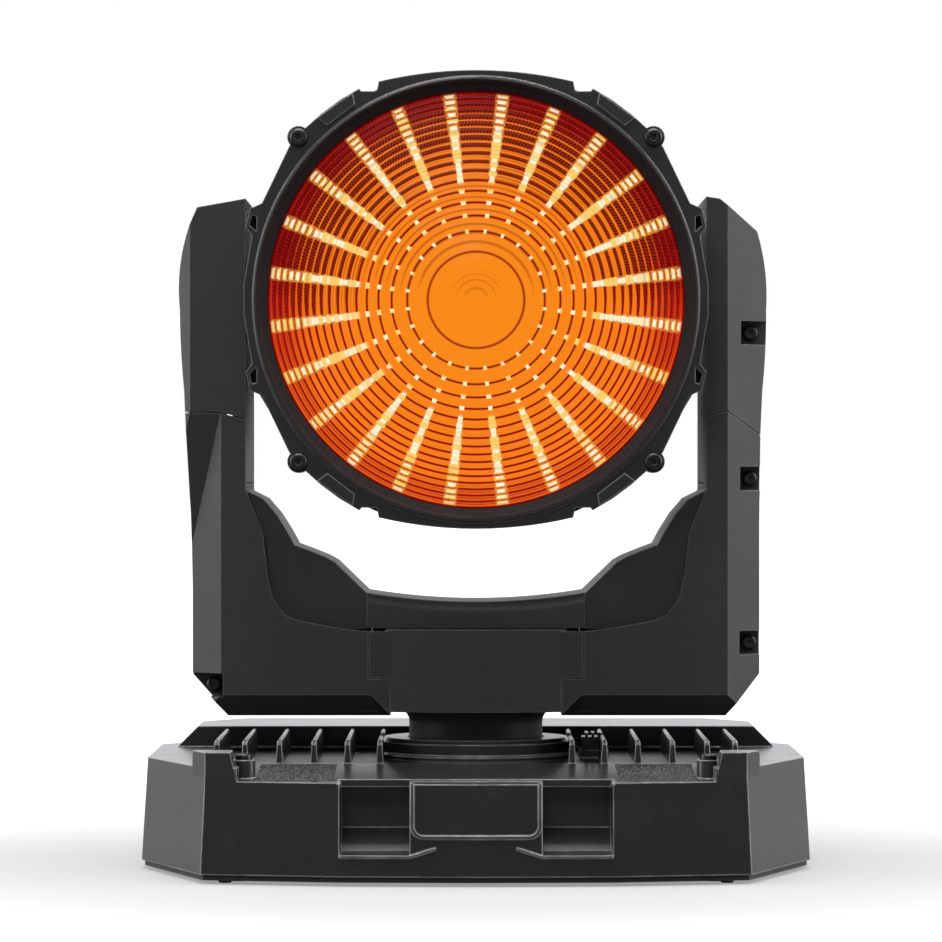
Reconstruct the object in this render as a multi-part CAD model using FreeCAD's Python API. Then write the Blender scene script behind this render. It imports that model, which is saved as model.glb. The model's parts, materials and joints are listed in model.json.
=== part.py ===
import FreeCAD, Part

# Moving head light: a base, a yoke that pans on it and a head that tilts in the yoke's arms.
# Millimetres. +X right, +Y back, +Z up. The origin is on the pan axis, where the feet stand.

import os
from math import cos, hypot, radians, sin

from FreeCAD import Vector

# Base
BASE_WIDTH = 312.0
BASE_DEPTH = 268.0
BASE_FRONT_BREAK = (62.0, 3.0)      # half width, and set back from the front point
BASE_FRONT_CORNER = (124.0, 16.0)
BASE_REAR_HALF = 118.0
BASE_SIDE_FRONT_Y = -32.0
BASE_SIDE_REAR_Y = 75.0
FOOT_HEIGHT = 1.5
FOOT_RADIUS = 12.0
PLATE_THICKNESS = 2.5
WALL_TOP = 46.0
WALL_DRAFT = 2.5
CASTING_WALL = 3.0
SHOULDER_TOP = 52.0
DECK_TOP = 50.0
DECK_FRONT_MARGIN = 11.4            # from the pan collar to the ends of the deck
DECK_REAR_MARGIN = 7.4
DECK_HALF = 124.0
DECK_LIP = 3.0                      # width of the rim that holds the deck down
POST_TOP = 59.0
POST_FOOT_X = 107.5                 # leaning inner wall of the front posts
POST_TOP_X = 110.5
PLATEAU_TOP = 62.0
PLATEAU_HALF = 134.5
FIN_TOP = 61.0
FIN_FOOT = 3.6                      # thickness at the foot and at the tip
FIN_TIP = 2.2
FIN_CORNER = 3.0
FIN_SETBACK = 4.0
FIN_CENTRES = (44.5, 59.5, 75.0, 91.0, 107.0, 120.0)
POCKET_INNER_X = 29.7
POCKET_OUTER_X = 61.2
POCKET_FLOOR = 13.8
POCKET_DEPTH = 37.0
GRIP_BOTTOM = 21.0                  # lower edge of the bead round the grip
GRIP_CORNER = 6.0
BEAD_WIDTH = 1.6
BEAD_PROUD = 0.9
GRIP_RECESS = 0.8
LIP_HEIGHT = 1.3
LIP_RISE = 3.6
LIP_REACH = 11.5
FOOT_PLACE = (108.0, 92.0)
DECK_BOLT_X = 105.0
DECK_BOLT_SETBACK = 30.0
DECK_BOLT_Z = 55.0
BRACKET_SPACING_X = 200.0
BRACKET_SPACING_Y = 106.0
BRACKET_HOLE_RADIUS = 4.2

# Rear panel
PANEL_HALF = 103.7
PANEL_BOTTOM = 9.8
PANEL_TOP = 41.2
PANEL_SETBACK = 8.0
PANEL_THICKNESS = 2.0
SOCKET_CENTRES = (-86.0, -56.0, -25.0, 4.0, 33.0)
SOCKET_Z = 25.5
SOCKET_BARREL_RADIUS = 11.5
SOCKET_BORE_RADIUS = 9.0
SOCKET_LENGTH = 20.0
BUTTON_CENTRES = (60.0, 72.0, 84.0, 96.0)
BUTTON_Z = 17.2
BUTTON_RADIUS = 3.2
WINDOW = (58.0, 98.0, 23.0, 38.0)    # low and high x, low and high z

# Pan drive
NECK_RADIUS = 31.5
NECK_CLEARANCE = 1.1
NECK_FLARE = 8.5
COLLAR_WALL = 12.0
COLLAR_TOP = 60.0
SPINDLE_RADIUS = 20.0
SPINDLE_BORE_RADIUS = 13.0
PAN_BEARING_RADIUS = 30.0
PAN_PULLEY_RADIUS = 34.0
MOTOR_PULLEY_RADIUS = 8.0
PAN_MOTOR_X = 84.0
PULLEY_WIDTH = 8.0
BELT_THICKNESS = 1.2
BELT_GAP = 0.3
LOCK_PIN_RADIUS = 1.6
LOCK_Z = 57.2

# Yoke
YOKE_DEPTH = 90.0
YOKE_BOTTOM = 71.5
ARM_INNER_X = 107.0
COVER_WALL = 2.5
FRAME_PLATE = 4.0
FRAME_Z = 78.0
FRAME_SIDE_X = 110.0
FRAME_DEPTH = 60.0
GUSSET_DEPTH = 76.0
CROSSBAR_HALF = 50.8
CROSSBAR_BOTTOM = 112.4
CROSSBAR_TOP = 128.8
ARM_SCREW_FLOOR = 26.0
TILT_AXIS_Z = 264.0
MOTOR_SIZE = 42.0
MOTOR_LENGTH = 38.0
MOTOR_SHAFT_RADIUS = 2.5
TILT_MOTOR_Z = 112.0
TILT_PULLEY_RADIUS = 30.0
TILT_PULLEY_X = 118.0

# Head, measured from the tilt axis
HEAD_FRONT_Y = -80.0
BEZEL_FACE_Y = -78.0
BEZEL_BACK_Y = -62.0
BEZEL_HALF_WIDTH = 106.3
BEZEL_HALF_HEIGHT = 105.0
LENS_RADIUS = 98.0
LENS_LAND = 2.2                     # width of the lens edge that the bezel covers
BEZEL_BEAD_WIDTH = 3.0
LENS_THICKNESS = 4.0
GASKET_THICKNESS = 1.0
LENS_FRONT_Y = -73.4
BEZEL_SCREW = (81.2, 74.2)
SHELL_SPLIT_Y = -24.0
SHELL_TAPER_Y = 74.0
HEAD_REAR_Y = 106.0
REAR_SCALE = 0.74
CHEEK_TOP = 84.6
CHEEK_LOW = 60.0
HEAD_HALF_WIDTH = 97.0
FRONT_HALF_WIDTH = 100.5
END_WALL_HALF = 38.0                # the rear shell's end walls start this far from the axis
HUB_FLANGE_RADIUS = 24.0
HUB_BOSS_RADIUS = 18.0
HUB_SHAFT_RADIUS = 12.0
TILT_BEARING_RADIUS = 20.0
LED_COUNT = 24
LED_RING_RADIUS = 78.0
LED_BOARD_BACK_Y = -34.4
CARRIAGE_Y = -44.0
ROD_RADIUS = 3.0
ROD_CIRCLE = 50.0
ZOOM_SCREW_X = 58.0
SINK_HALF = 38.0
FAN_HALF = 40.0
FAN_BORE_RADIUS = 37.5
FAN_FRONT_Y = 82.0
FAN_DEPTH = 20.0
FAN_BLADES = 7

# Clearances
RUNNING_FIT = 0.05
LOOSE_GAP = 0.3

HOUSING_Z = FOOT_HEIGHT + PLATE_THICKNESS
HALF_WIDTH = BASE_WIDTH / 2
HALF_DEPTH = BASE_DEPTH / 2
BASE_SCREWS = ((HALF_WIDTH - 7, 60.0), (HALF_WIDTH - 7, -20.0), (113.0, 20 - HALF_DEPTH))
DECK_BOLT = (DECK_BOLT_X, DECK_BOLT_SETBACK - HALF_DEPTH)
PANEL_BACK_Y = HALF_DEPTH - PANEL_SETBACK
YOKE_HALF = YOKE_DEPTH / 2
LENS_BACK_Y = LENS_FRONT_Y + LENS_THICKNESS
LENS_SEAT_RADIUS = LENS_RADIUS + LOOSE_GAP
APERTURE_RADIUS = LENS_RADIUS - LENS_LAND
BEAD_INNER_RADIUS = LENS_RADIUS + 1.4
BEAD_OUTER_RADIUS = BEAD_INNER_RADIUS + BEZEL_BEAD_WIDTH
COLLAR_BORE_RADIUS = NECK_RADIUS + NECK_CLEARANCE
COLLAR_RADIUS = COLLAR_BORE_RADIUS + COLLAR_WALL
DECK_FRONT_Y = -COLLAR_RADIUS - DECK_FRONT_MARGIN
DECK_REAR_Y = COLLAR_RADIUS + DECK_REAR_MARGIN
FRAME_TOP = FRAME_Z + FRAME_PLATE
PAN_BELT_Z = FRAME_TOP + 3
PAN_SHELF_Z = PAN_BELT_Z + PULLEY_WIDTH + 2
FLANGE_TOP = DECK_TOP - 1.1
PLACES = {
    "xy": lambda u, v, w: Vector(u, v, w),
    "xz": lambda u, v, w: Vector(u, w, v),
    "yz": lambda u, v, w: Vector(w, u, v),
}
ROD_PLANES = {"x": "yz", "y": "xz", "z": "xy"}
ACROSS = Vector(1, 0, 0)
BACK = Vector(0, 1, 0)
UP = Vector(0, 0, 1)
ORIGIN = Vector(0, 0, 0)


# ---- Shape helpers

def outline(plane, path, level):
    """Closed wire. A point of four numbers is an arc through the first two to the last two."""
    place = PLACES[plane]
    edges = []
    start = place(*path[-1][-2:], level)
    for point in path:
        end = place(*point[-2:], level)
        if len(point) == 4:
            edges.append(Part.Arc(start, place(*point[:2], level), end).toShape())
        else:
            edges.append(Part.LineSegment(start, end).toShape())
        start = end
    return Part.Wire(edges)


def prism(plane, path, start, end):
    return Part.Face(outline(plane, path, start)).extrude(PLACES[plane](0, 0, end - start))


def taper(plane, first_path, first_level, last_path, last_level):
    wires = [outline(plane, first_path, first_level), outline(plane, last_path, last_level)]
    return Part.makeLoft(wires, True, True)


def block(x0, x1, y0, y1, z0, z1):
    return Part.makeBox(x1 - x0, y1 - y0, z1 - z0, Vector(x0, y0, z0))


def rod(axis, centre, radius, start, end):
    place = PLACES[ROD_PLANES[axis]]
    return Part.makeCylinder(radius, abs(end - start), place(*centre, min(start, end)), place(0, 0, 1))


def ring(axis, centre, outer, inner, start, end):
    return rod(axis, centre, outer, start, end).cut(rod(axis, centre, inner, start - 1, end + 1))


def turned(profile, axis):
    """Solid turned about Z or Y from (radius, level) points."""
    if axis == "z":
        face = Part.Face(outline("xz", profile, 0))
        return face.revolve(ORIGIN, UP, 360)
    face = Part.Face(outline("xy", profile, 0))
    return face.revolve(ORIGIN, BACK, 360)


def inset(path, distance):
    """Straight-sided outline moved inwards by a distance."""
    following = path[1:] + path[:1]
    area = sum(a[0] * b[1] - b[0] * a[1] for a, b in zip(path, following))
    side = distance if area > 0 else -distance
    lines = []
    for a, b in zip(path, following):
        run = (b[0] - a[0], b[1] - a[1])
        length = hypot(*run)
        lines.append((a[0] - run[1] / length * side, a[1] + run[0] / length * side, *run))
    result = []
    for first, second in zip(lines[-1:] + lines[:-1], lines):
        cross = first[2] * second[3] - first[3] * second[2]
        step = (second[0] - first[0]) * second[3] - (second[1] - first[1]) * second[2]
        result.append((first[0] + first[2] * step / cross, first[1] + first[3] * step / cross))
    return result


def join(*shapes):
    return shapes[0].fuse(list(shapes[1:])).removeSplitter()


def mirror_x(shape):
    return shape.mirror(ORIGIN, ACROSS)


def mirror_y(shape):
    return shape.mirror(ORIGIN, BACK)


def both_sides(shape):
    return [shape, mirror_x(shape)]


def lifted(shape):
    """A head piece, drawn about the tilt axis, at its place."""
    return shape.translated(Vector(0, 0, TILT_AXIS_Z))


def quarter_copies(points):
    return [(x * sx, z * sz) for x, z in points for sx in (1, -1) for sz in (1, -1)]


def screw(position, direction, head_radius, head_height, shank_radius, shank_length):
    """Pan head screw with a star recess; direction points out of the head."""
    head = rod("z", (0, 0), head_radius, 0, head_height)
    rim = [edge for edge in head.Edges if edge.BoundBox.ZMin > head_height - 0.01]
    head = head.makeFillet(head_height * 0.45, rim[:1])
    lobes = [rod("z", (head_radius * 0.3 * cos(radians(a)), head_radius * 0.3 * sin(radians(a))),
                 head_radius * 0.16, head_height * 0.4, head_height + 1) for a in range(0, 360, 60)]
    head = head.cut([rod("z", (0, 0), head_radius * 0.32, head_height * 0.4, head_height + 1)] + lobes)
    body = head.fuse(rod("z", (0, 0), shank_radius, -shank_length, 0)).removeSplitter()
    body.Placement = FreeCAD.Placement(position, FreeCAD.Rotation(UP, direction))
    return body


def belt(plane, first, first_radius, second, second_radius, start, end):
    """Loop round two pulleys, a gap clear of both."""
    def hull(extra):
        r1 = first_radius + extra
        r2 = second_radius + extra
        run = Vector(second[0] - first[0], second[1] - first[1], 0)
        length = run.Length
        along = run.normalize()
        across = Vector(-along.y, along.x, 0)
        lean = (r1 - r2) / length
        reach = (1 - lean ** 2) ** 0.5
        left = along * lean + across * reach
        right = along * lean - across * reach
        a = Vector(*first, 0)
        b = Vector(*second, 0)
        points = [a + left * r1, a - along * r1, a + right * r1, b + right * r2, b + along * r2,
                  b + left * r2]
        (a1, a2, a3, b1, b2, b3) = [(p.x, p.y) for p in points]
        return prism(plane, [(*a2, *a3), b1, (*b2, *b3), a1], start, end)
    return hull(BELT_GAP + BELT_THICKNESS).cut(hull(BELT_GAP))


# ---- Base

def base_plan(distance=0.0):
    right = [
        (BASE_FRONT_BREAK[0], BASE_FRONT_BREAK[1] - HALF_DEPTH),
        (BASE_FRONT_CORNER[0], BASE_FRONT_CORNER[1] - HALF_DEPTH),
        (HALF_WIDTH, BASE_SIDE_FRONT_Y),
        (HALF_WIDTH, BASE_SIDE_REAR_Y),
        (BASE_REAR_HALF, HALF_DEPTH),
    ]
    left = [(-x, y) for x, y in reversed(right)]
    return inset([(0, -HALF_DEPTH)] + right + left, distance)


def plan_prism(distance, start, end):
    return prism("xy", base_plan(distance), start, end)


def base_outside():
    rise = (SHOULDER_TOP - HOUSING_Z) / (WALL_TOP - HOUSING_Z)
    walls = taper("xy", base_plan(), HOUSING_Z, base_plan(WALL_DRAFT * rise), SHOULDER_TOP)
    lip_y = DECK_FRONT_Y + DECK_LIP
    above = [(-HALF_DEPTH - 1, WALL_TOP), (BASE_FRONT_CORNER[1] - HALF_DEPTH, WALL_TOP),
             (lip_y, DECK_TOP + 0.2), (lip_y, SHOULDER_TOP + 1), (-HALF_DEPTH - 1, SHOULDER_TOP + 1)]
    walls = walls.cut(prism("yz", above, -POST_FOOT_X, POST_FOOT_X))
    inner_wall = [(POST_FOOT_X, WALL_TOP - 4), (POST_FOOT_X, WALL_TOP), (POST_TOP_X, POST_TOP),
                  (HALF_WIDTH, POST_TOP), (HALF_WIDTH, WALL_TOP - 4)]
    post = prism("xz", inner_wall, -HALF_DEPTH, 36 - HALF_DEPTH)
    post = post.common(plan_prism(WALL_DRAFT + 0.1, WALL_TOP - 4, POST_TOP))
    post = post.cut(prism("xz", [(126, POST_TOP + 1), (140, WALL_TOP + 4), (160, WALL_TOP + 4),
                                 (160, POST_TOP + 1)], -HALF_DEPTH, 0))
    boss = rod("z", DECK_BOLT, 5.2, WALL_TOP - 2, DECK_BOLT_Z)
    chamfer = PLATEAU_TOP - WALL_TOP + 1
    plateau = [(-PLATEAU_HALF - chamfer, WALL_TOP - 1), (-PLATEAU_HALF, PLATEAU_TOP),
               (PLATEAU_HALF, PLATEAU_TOP), (PLATEAU_HALF + chamfer, WALL_TOP - 1)]
    plateau = prism("xz", plateau, DECK_REAR_Y, HALF_DEPTH - 6)
    plateau = plateau.common(plan_prism(WALL_DRAFT + 4, WALL_TOP - 1, PLATEAU_TOP))
    return join(walls, plateau, *both_sides(post), *both_sides(boss))


def pocket(grow):
    """Finger pocket beside the grip block, or with grow the skin round it."""
    x0 = POCKET_INNER_X - grow
    x1 = POCKET_OUTER_X + grow
    front = -HALF_DEPTH - 5
    floor = POCKET_FLOOR - grow
    deep = [(front, floor), (POCKET_DEPTH - HALF_DEPTH + grow - 8, floor),
            (POCKET_DEPTH - HALF_DEPTH + grow, 24), (POCKET_DEPTH - HALF_DEPTH + grow, 43 + grow),
            (front, 43 + grow)]
    space = prism("yz", deep, x0, x1)
    if not grow:
        space = space.fuse(block(x0, x1, front, 24 - HALF_DEPTH, POCKET_FLOOR, SHOULDER_TOP))
    return space


def grip_outline(shrink):
    """Front face of the grip block between the pockets: open above, with rounded lower corners."""
    half = POCKET_INNER_X - LOOSE_GAP - shrink
    bottom = GRIP_BOTTOM + shrink
    corner = GRIP_CORNER - shrink
    middle = corner * (1 - cos(radians(45)))
    return [(-half, SHOULDER_TOP), (-half, bottom + corner),
            (middle - half, bottom + middle, corner - half, bottom), (half - corner, bottom),
            (half - middle, bottom + middle, half, bottom + corner), (half, SHOULDER_TOP)]


def wall_skin(proud):
    """The drafted outer walls, moved outwards."""
    return taper("xy", base_plan(-proud), HOUSING_Z, base_plan(WALL_DRAFT - proud), WALL_TOP)


def front_beads():
    """Bead round the grip block, and the lips under the pockets that run in below it."""
    front = -HALF_DEPTH - BEAD_PROUD - 1
    back = BEAD_WIDTH + BASE_FRONT_BREAK[1] + WALL_DRAFT - HALF_DEPTH
    bead = prism("xz", grip_outline(0), front, back)
    bead = bead.cut(prism("xz", grip_outline(BEAD_WIDTH), front, back))
    end = POCKET_INNER_X - LIP_REACH
    lip = [(POCKET_OUTER_X, POCKET_FLOOR), (POCKET_OUTER_X, POCKET_FLOOR - LIP_HEIGHT),
           (POCKET_INNER_X, POCKET_FLOOR - LIP_HEIGHT), (end, POCKET_FLOOR + LIP_RISE - LIP_HEIGHT),
           (end, POCKET_FLOOR + LIP_RISE), (POCKET_INNER_X, POCKET_FLOOR)]
    ribs = join(bead, *both_sides(prism("xz", lip, front, back)))
    return ribs.common(wall_skin(BEAD_PROUD))


def base_cavity():
    lower = taper("xy", base_plan(CASTING_WALL), HOUSING_Z - 1,
                  base_plan(CASTING_WALL + WALL_DRAFT), WALL_TOP - CASTING_WALL)
    front = 22 - HALF_DEPTH
    profile = [(front, WALL_TOP - 6), (front, WALL_TOP - CASTING_WALL), (DECK_FRONT_Y - 1, DECK_TOP - 3.4),
               (DECK_FRONT_Y - 1, FLANGE_TOP), (HALF_DEPTH - 9, FLANGE_TOP), (HALF_DEPTH - 9, WALL_TOP - 6)]
    upper = prism("yz", profile, -BASE_WIDTH, BASE_WIDTH)
    upper = upper.common(plan_prism(WALL_DRAFT + 7, WALL_TOP - 6, FLANGE_TOP))
    reach = PLATEAU_TOP - CASTING_WALL - WALL_TOP + 2
    roof = [(-PLATEAU_HALF - reach + 1.5, WALL_TOP - 2), (1.5 - PLATEAU_HALF, PLATEAU_TOP - CASTING_WALL),
            (PLATEAU_HALF - 1.5, PLATEAU_TOP - CASTING_WALL), (PLATEAU_HALF + reach - 1.5, WALL_TOP - 2)]
    plateau = prism("xz", roof, DECK_REAR_Y + 6, HALF_DEPTH - 9)
    plateau = plateau.common(plan_prism(WALL_DRAFT + 7, WALL_TOP - 2, PLATEAU_TOP))
    space = join(lower, upper, plateau)
    skins = both_sides(pocket(CASTING_WALL))
    rim = block(-PANEL_HALF - 5, PANEL_HALF + 5, PANEL_BACK_Y - 4, HALF_DEPTH, 0, WALL_TOP)
    bosses = [rod("z", place, 4.5, HOUSING_Z, HOUSING_Z + 12) for place in BASE_SCREWS]
    bosses += [mirror_x(boss) for boss in bosses]
    anchor = both_sides(rod("z", DECK_BOLT, 5.2, WALL_TOP - 12, WALL_TOP))
    return space.cut(skins + [rim] + bosses + anchor)


def base_housing():
    shell = base_outside().cut(base_cavity())
    face = prism("xz", grip_outline(BEAD_WIDTH), -HALF_DEPTH - 1, CASTING_WALL - HALF_DEPTH + WALL_DRAFT)
    outer = PANEL_HALF + LOOSE_GAP
    bottom = PANEL_BOTTOM - LOOSE_GAP
    top = PANEL_TOP + LOOSE_GAP
    fit = LOOSE_GAP
    cuts = both_sides(pocket(0)) + [
        block(-62, 62, -HALF_DEPTH - 5, 24 - HALF_DEPTH, WALL_TOP - 0.6, POST_TOP),
        face.cut(wall_skin(-GRIP_RECESS)),
        block(-DECK_HALF, DECK_HALF, DECK_FRONT_Y + DECK_LIP, DECK_REAR_Y - DECK_LIP, 40, PLATEAU_TOP),
        block(-DECK_HALF - DECK_LIP - fit, DECK_HALF + DECK_LIP + fit, DECK_FRONT_Y - fit,
              DECK_REAR_Y + fit, 40, FLANGE_TOP),
        block(-outer, outer, PANEL_BACK_Y, HALF_DEPTH + 5, bottom, top),
        block(3 - outer, outer - 3, PANEL_BACK_Y - 10, HALF_DEPTH, bottom + 3, top - 3),
    ]
    for x, y in BASE_SCREWS:
        cuts += both_sides(rod("z", (x, y), 1.5, HOUSING_Z - 1, HOUSING_Z + 10))
    cuts += both_sides(rod("z", DECK_BOLT, 2.0, DECK_BOLT_Z - 10, DECK_BOLT_Z + 1))
    return join(shell.cut(cuts), front_beads())


def heat_sink_deck():
    reach = DECK_HALF + DECK_LIP
    flange = block(-reach, reach, DECK_FRONT_Y, DECK_REAR_Y, FLANGE_TOP - 2.4, FLANGE_TOP)
    land = block(LOOSE_GAP - DECK_HALF, DECK_HALF - LOOSE_GAP, DECK_FRONT_Y + DECK_LIP + LOOSE_GAP,
                 DECK_REAR_Y - DECK_LIP - LOOSE_GAP, FLANGE_TOP - 1, DECK_TOP)
    foot = FIN_FOOT / 2
    tip = FIN_TIP / 2
    start = DECK_FRONT_Y + FIN_SETBACK
    end = DECK_REAR_Y - FIN_SETBACK
    turn = FIN_CORNER * (1 - cos(radians(45)))
    side = prism("yz", [(start, DECK_TOP - 1), (start, FIN_TOP - FIN_CORNER),
                        (start + turn, FIN_TOP - turn, start + FIN_CORNER, FIN_TOP),
                        (end - FIN_CORNER, FIN_TOP),
                        (end - turn, FIN_TOP - turn, end, FIN_TOP - FIN_CORNER),
                        (end, DECK_TOP - 1)], 0, DECK_HALF)
    fins = []
    for centre in FIN_CENTRES:
        section = [(centre - foot, DECK_TOP - 1), (centre - tip, FIN_TOP - tip),
                   (centre, FIN_TOP, centre + tip, FIN_TOP - tip), (centre + foot, DECK_TOP - 1)]
        fins += both_sides(prism("xz", section, start, end).common(side))
    deck = join(flange, land, *fins)
    lock_bay = block(COLLAR_RADIUS - 4, COLLAR_RADIUS + 22, -9, 9, DECK_TOP, FIN_TOP + 1)
    deck = deck.cut([rod("z", (0, 0), COLLAR_RADIUS + 2, DECK_TOP, FIN_TOP + 1), lock_bay,
                     rod("z", (0, 0), SPINDLE_RADIUS, 0, DECK_TOP + 1)])
    rail_x = COLLAR_RADIUS + 4
    rails = [block(rail_x, rail_x + 14, side * 7.2 - 0.8, side * 7.2 + 0.8, DECK_TOP - 1, DECK_TOP + 4)
             for side in (1, -1)]
    return join(deck, *rails)


def base_bottom_plate():
    plate = plan_prism(1.5, FOOT_HEIGHT, HOUSING_Z)
    holes = quarter_copies([(BRACKET_SPACING_X / 2, BRACKET_SPACING_Y / 2)])
    cuts = [rod("z", hole, BRACKET_HOLE_RADIUS, 0, HOUSING_Z + 1) for hole in holes]
    for place in BASE_SCREWS:
        cuts += both_sides(rod("z", place, 1.7, 0, HOUSING_Z + 1))
    places = [(18, -44), (102, -44), (18, 92), (102, 92)]
    standoffs = [rod("z", place, 3, FOOT_HEIGHT, HOUSING_Z + 6) for place in places]
    return join(plate.cut(cuts), *standoffs)


def power_supply():
    case = block(-96, -12, -40, 96, HOUSING_Z, 38)
    slots = [block(-90, -18, y, y + 3, 36.5, 39) for y in range(-30, 86, 9)]
    return case.cut(slots)


def main_board():
    top = HOUSING_Z + 7.6
    board = block(12, 108, -50, 98, HOUSING_Z + 6, top)
    chips = [(22, -30, 24, 24, 3), (60, -30, 30, 20, 4), (26, 16, 40, 22, 2), (76, 14, 20, 34, 12),
             (24, 56, 16, 26, 10), (56, 60, 34, 22, 6)]
    return [board] + [block(x, x + w, y, y + d, top, top + h) for x, y, w, d, h in chips]


# ---- Rear panel

def rear_panel():
    front = PANEL_BACK_Y + PANEL_THICKNESS
    panel = block(-PANEL_HALF, PANEL_HALF, PANEL_BACK_Y, front, PANEL_BOTTOM, PANEL_TOP)
    cuts = [rod("y", (x, SOCKET_Z), SOCKET_BARREL_RADIUS, PANEL_BACK_Y - 1, front + 1)
            for x in SOCKET_CENTRES]
    cuts += [rod("y", (x, BUTTON_Z), BUTTON_RADIUS + RUNNING_FIT, PANEL_BACK_Y - 1, front + 1)
             for x in BUTTON_CENTRES]
    cuts.append(block(*WINDOW[:2], PANEL_BACK_Y - 1, front + 1, *WINDOW[2:]))
    return panel.cut(cuts)


def socket(x):
    front = PANEL_BACK_Y + PANEL_THICKNESS
    flange = block(x - 13, x + 13, front, front + 2.2, SOCKET_Z - 13, SOCKET_Z + 13)
    barrel = rod("y", (x, SOCKET_Z), SOCKET_BARREL_RADIUS, front + 0.5, front - SOCKET_LENGTH)
    bore = rod("y", (x, SOCKET_Z), SOCKET_BORE_RADIUS, front + 3, front - SOCKET_LENGTH + 2.5)
    keyway = block(x - 1.5, x + 1.5, front - 8, front + 3, SOCKET_Z + SOCKET_BORE_RADIUS - 1,
                   SOCKET_Z + SOCKET_BORE_RADIUS + 1.2)
    return join(flange, barrel).cut([bore, keyway])


def socket_contacts():
    floor = PANEL_BACK_Y + PANEL_THICKNESS - SOCKET_LENGTH + 2.5
    pins = []
    for x in SOCKET_CENTRES:
        for angle in (90, 210, 330):
            centre = (x + 4.2 * cos(radians(angle)), SOCKET_Z + 4.2 * sin(radians(angle)))
            pins.append(rod("y", centre, 1.1, floor, floor + 10))
    return pins


def display_window():
    return block(*WINDOW[:2], PANEL_BACK_Y, PANEL_BACK_Y + PANEL_THICKNESS + 0.6, *WINDOW[2:])


def display_board():
    """Board behind the rear panel with the display and the switches under the buttons."""
    top = PANEL_TOP - 3
    board = block(54, 100, PANEL_BACK_Y - 6.6, PANEL_BACK_Y - 5, PANEL_BOTTOM + 3.2, top)
    module = block(56, 99, PANEL_BACK_Y - 5.5, PANEL_BACK_Y, 22, top)
    domes = [rod("y", (x, BUTTON_Z), 2.6, PANEL_BACK_Y - 5, PANEL_BACK_Y - 3.3) for x in BUTTON_CENTRES]
    return join(board, module, *domes)


def menu_button(x):
    flange_top = PANEL_BACK_Y - 0.3
    cap = rod("y", (x, BUTTON_Z), BUTTON_RADIUS, flange_top, PANEL_BACK_Y + PANEL_THICKNESS + 1.8)
    flange = rod("y", (x, BUTTON_Z), BUTTON_RADIUS + 0.9, flange_top - 1, flange_top)
    return join(cap, flange)


# ---- Pan drive

def pan_collar():
    profile = [(COLLAR_BORE_RADIUS, DECK_TOP), (COLLAR_RADIUS + 1.2, DECK_TOP),
               (COLLAR_RADIUS + 1.2, DECK_TOP + 2.2), (COLLAR_RADIUS, DECK_TOP + 3),
               (COLLAR_RADIUS, COLLAR_TOP - 2), (COLLAR_RADIUS - 1.6, COLLAR_TOP),
               (COLLAR_BORE_RADIUS, COLLAR_TOP)]
    hole = rod("x", (0, LOCK_Z), LOCK_PIN_RADIUS + RUNNING_FIT, 0, COLLAR_RADIUS + 5)
    return turned(profile, "z").cut(hole)


def pan_spindle():
    tube = ring("z", (0, 0), SPINDLE_RADIUS, SPINDLE_BORE_RADIUS, DECK_TOP - 7, 96)
    flange = ring("z", (0, 0), SPINDLE_RADIUS + 10, SPINDLE_BORE_RADIUS, DECK_TOP, DECK_TOP + 3.4)
    pulley = ring("z", (0, 0), PAN_PULLEY_RADIUS, SPINDLE_BORE_RADIUS, PAN_BELT_Z, PAN_BELT_Z + PULLEY_WIDTH)
    return join(tube, flange, pulley)


def pan_lock_slider():
    pin = rod("x", (0, LOCK_Z), LOCK_PIN_RADIUS, COLLAR_BORE_RADIUS + 0.2, COLLAR_RADIUS + 6)
    body = block(COLLAR_RADIUS + 5.5, COLLAR_RADIUS + 16, -6, 6, DECK_TOP + LOOSE_GAP, FIN_TOP - 1)
    grips = [block(COLLAR_RADIUS + 7 + 3 * i, COLLAR_RADIUS + 8.4 + 3 * i, -7, 7, FIN_TOP - 2.4, FIN_TOP + 1)
             for i in range(3)]
    return join(body, pin, *grips)


def neck():
    shoulder = NECK_RADIUS + NECK_FLARE
    profile = [(SPINDLE_RADIUS + 2, 54.5), (NECK_RADIUS, 54.5), (NECK_RADIUS, 67),
               (NECK_RADIUS + 0.9, 70.2, NECK_RADIUS + 3.5, 72.6), (shoulder, 74.5), (shoulder, FRAME_Z),
               (PAN_BEARING_RADIUS, FRAME_Z), (PAN_BEARING_RADIUS, FRAME_Z - 9),
               (SPINDLE_RADIUS + 2, FRAME_Z - 9)]
    holes = [rod("x", (0, LOCK_Z), LOCK_PIN_RADIUS + 0.5, -COLLAR_RADIUS, COLLAR_RADIUS),
             rod("y", (0, LOCK_Z), LOCK_PIN_RADIUS + 0.5, -COLLAR_RADIUS, COLLAR_RADIUS)]
    return turned(profile, "z").cut(holes)


def motor(axis, centre, face, length):
    """Square stepper motor; its shaft hole opens in the given face and it runs back by length."""
    half = MOTOR_SIZE / 2
    corner = 5.0
    u, v = centre
    path = [(u - half + corner, v - half), (u + half - corner, v - half), (u + half, v - half + corner),
            (u + half, v + half - corner), (u + half - corner, v + half), (u - half + corner, v + half),
            (u - half, v + half - corner), (u - half, v - half + corner)]
    body = prism(ROD_PLANES[axis], path, face, face + length)
    waist_start = face + length * 0.28
    waist_end = face + length * 0.72
    low, high = sorted((waist_start, waist_end))
    waist = prism(ROD_PLANES[axis], inset(path, -3), low, high)
    waist = waist.cut(prism(ROD_PLANES[axis], inset(path, 1.2), low - 1, high + 1))
    bore = rod(axis, centre, MOTOR_SHAFT_RADIUS + RUNNING_FIT, face - length * 0.01, face + length * 0.6)
    return body.cut([waist, bore])


def motor_pulley(axis, centre, shaft_start, pulley_start, pulley_end):
    wheel = rod(axis, centre, MOTOR_PULLEY_RADIUS, pulley_start, pulley_end)
    shaft = rod(axis, centre, MOTOR_SHAFT_RADIUS, shaft_start, pulley_end)
    return join(wheel, shaft)


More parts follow.
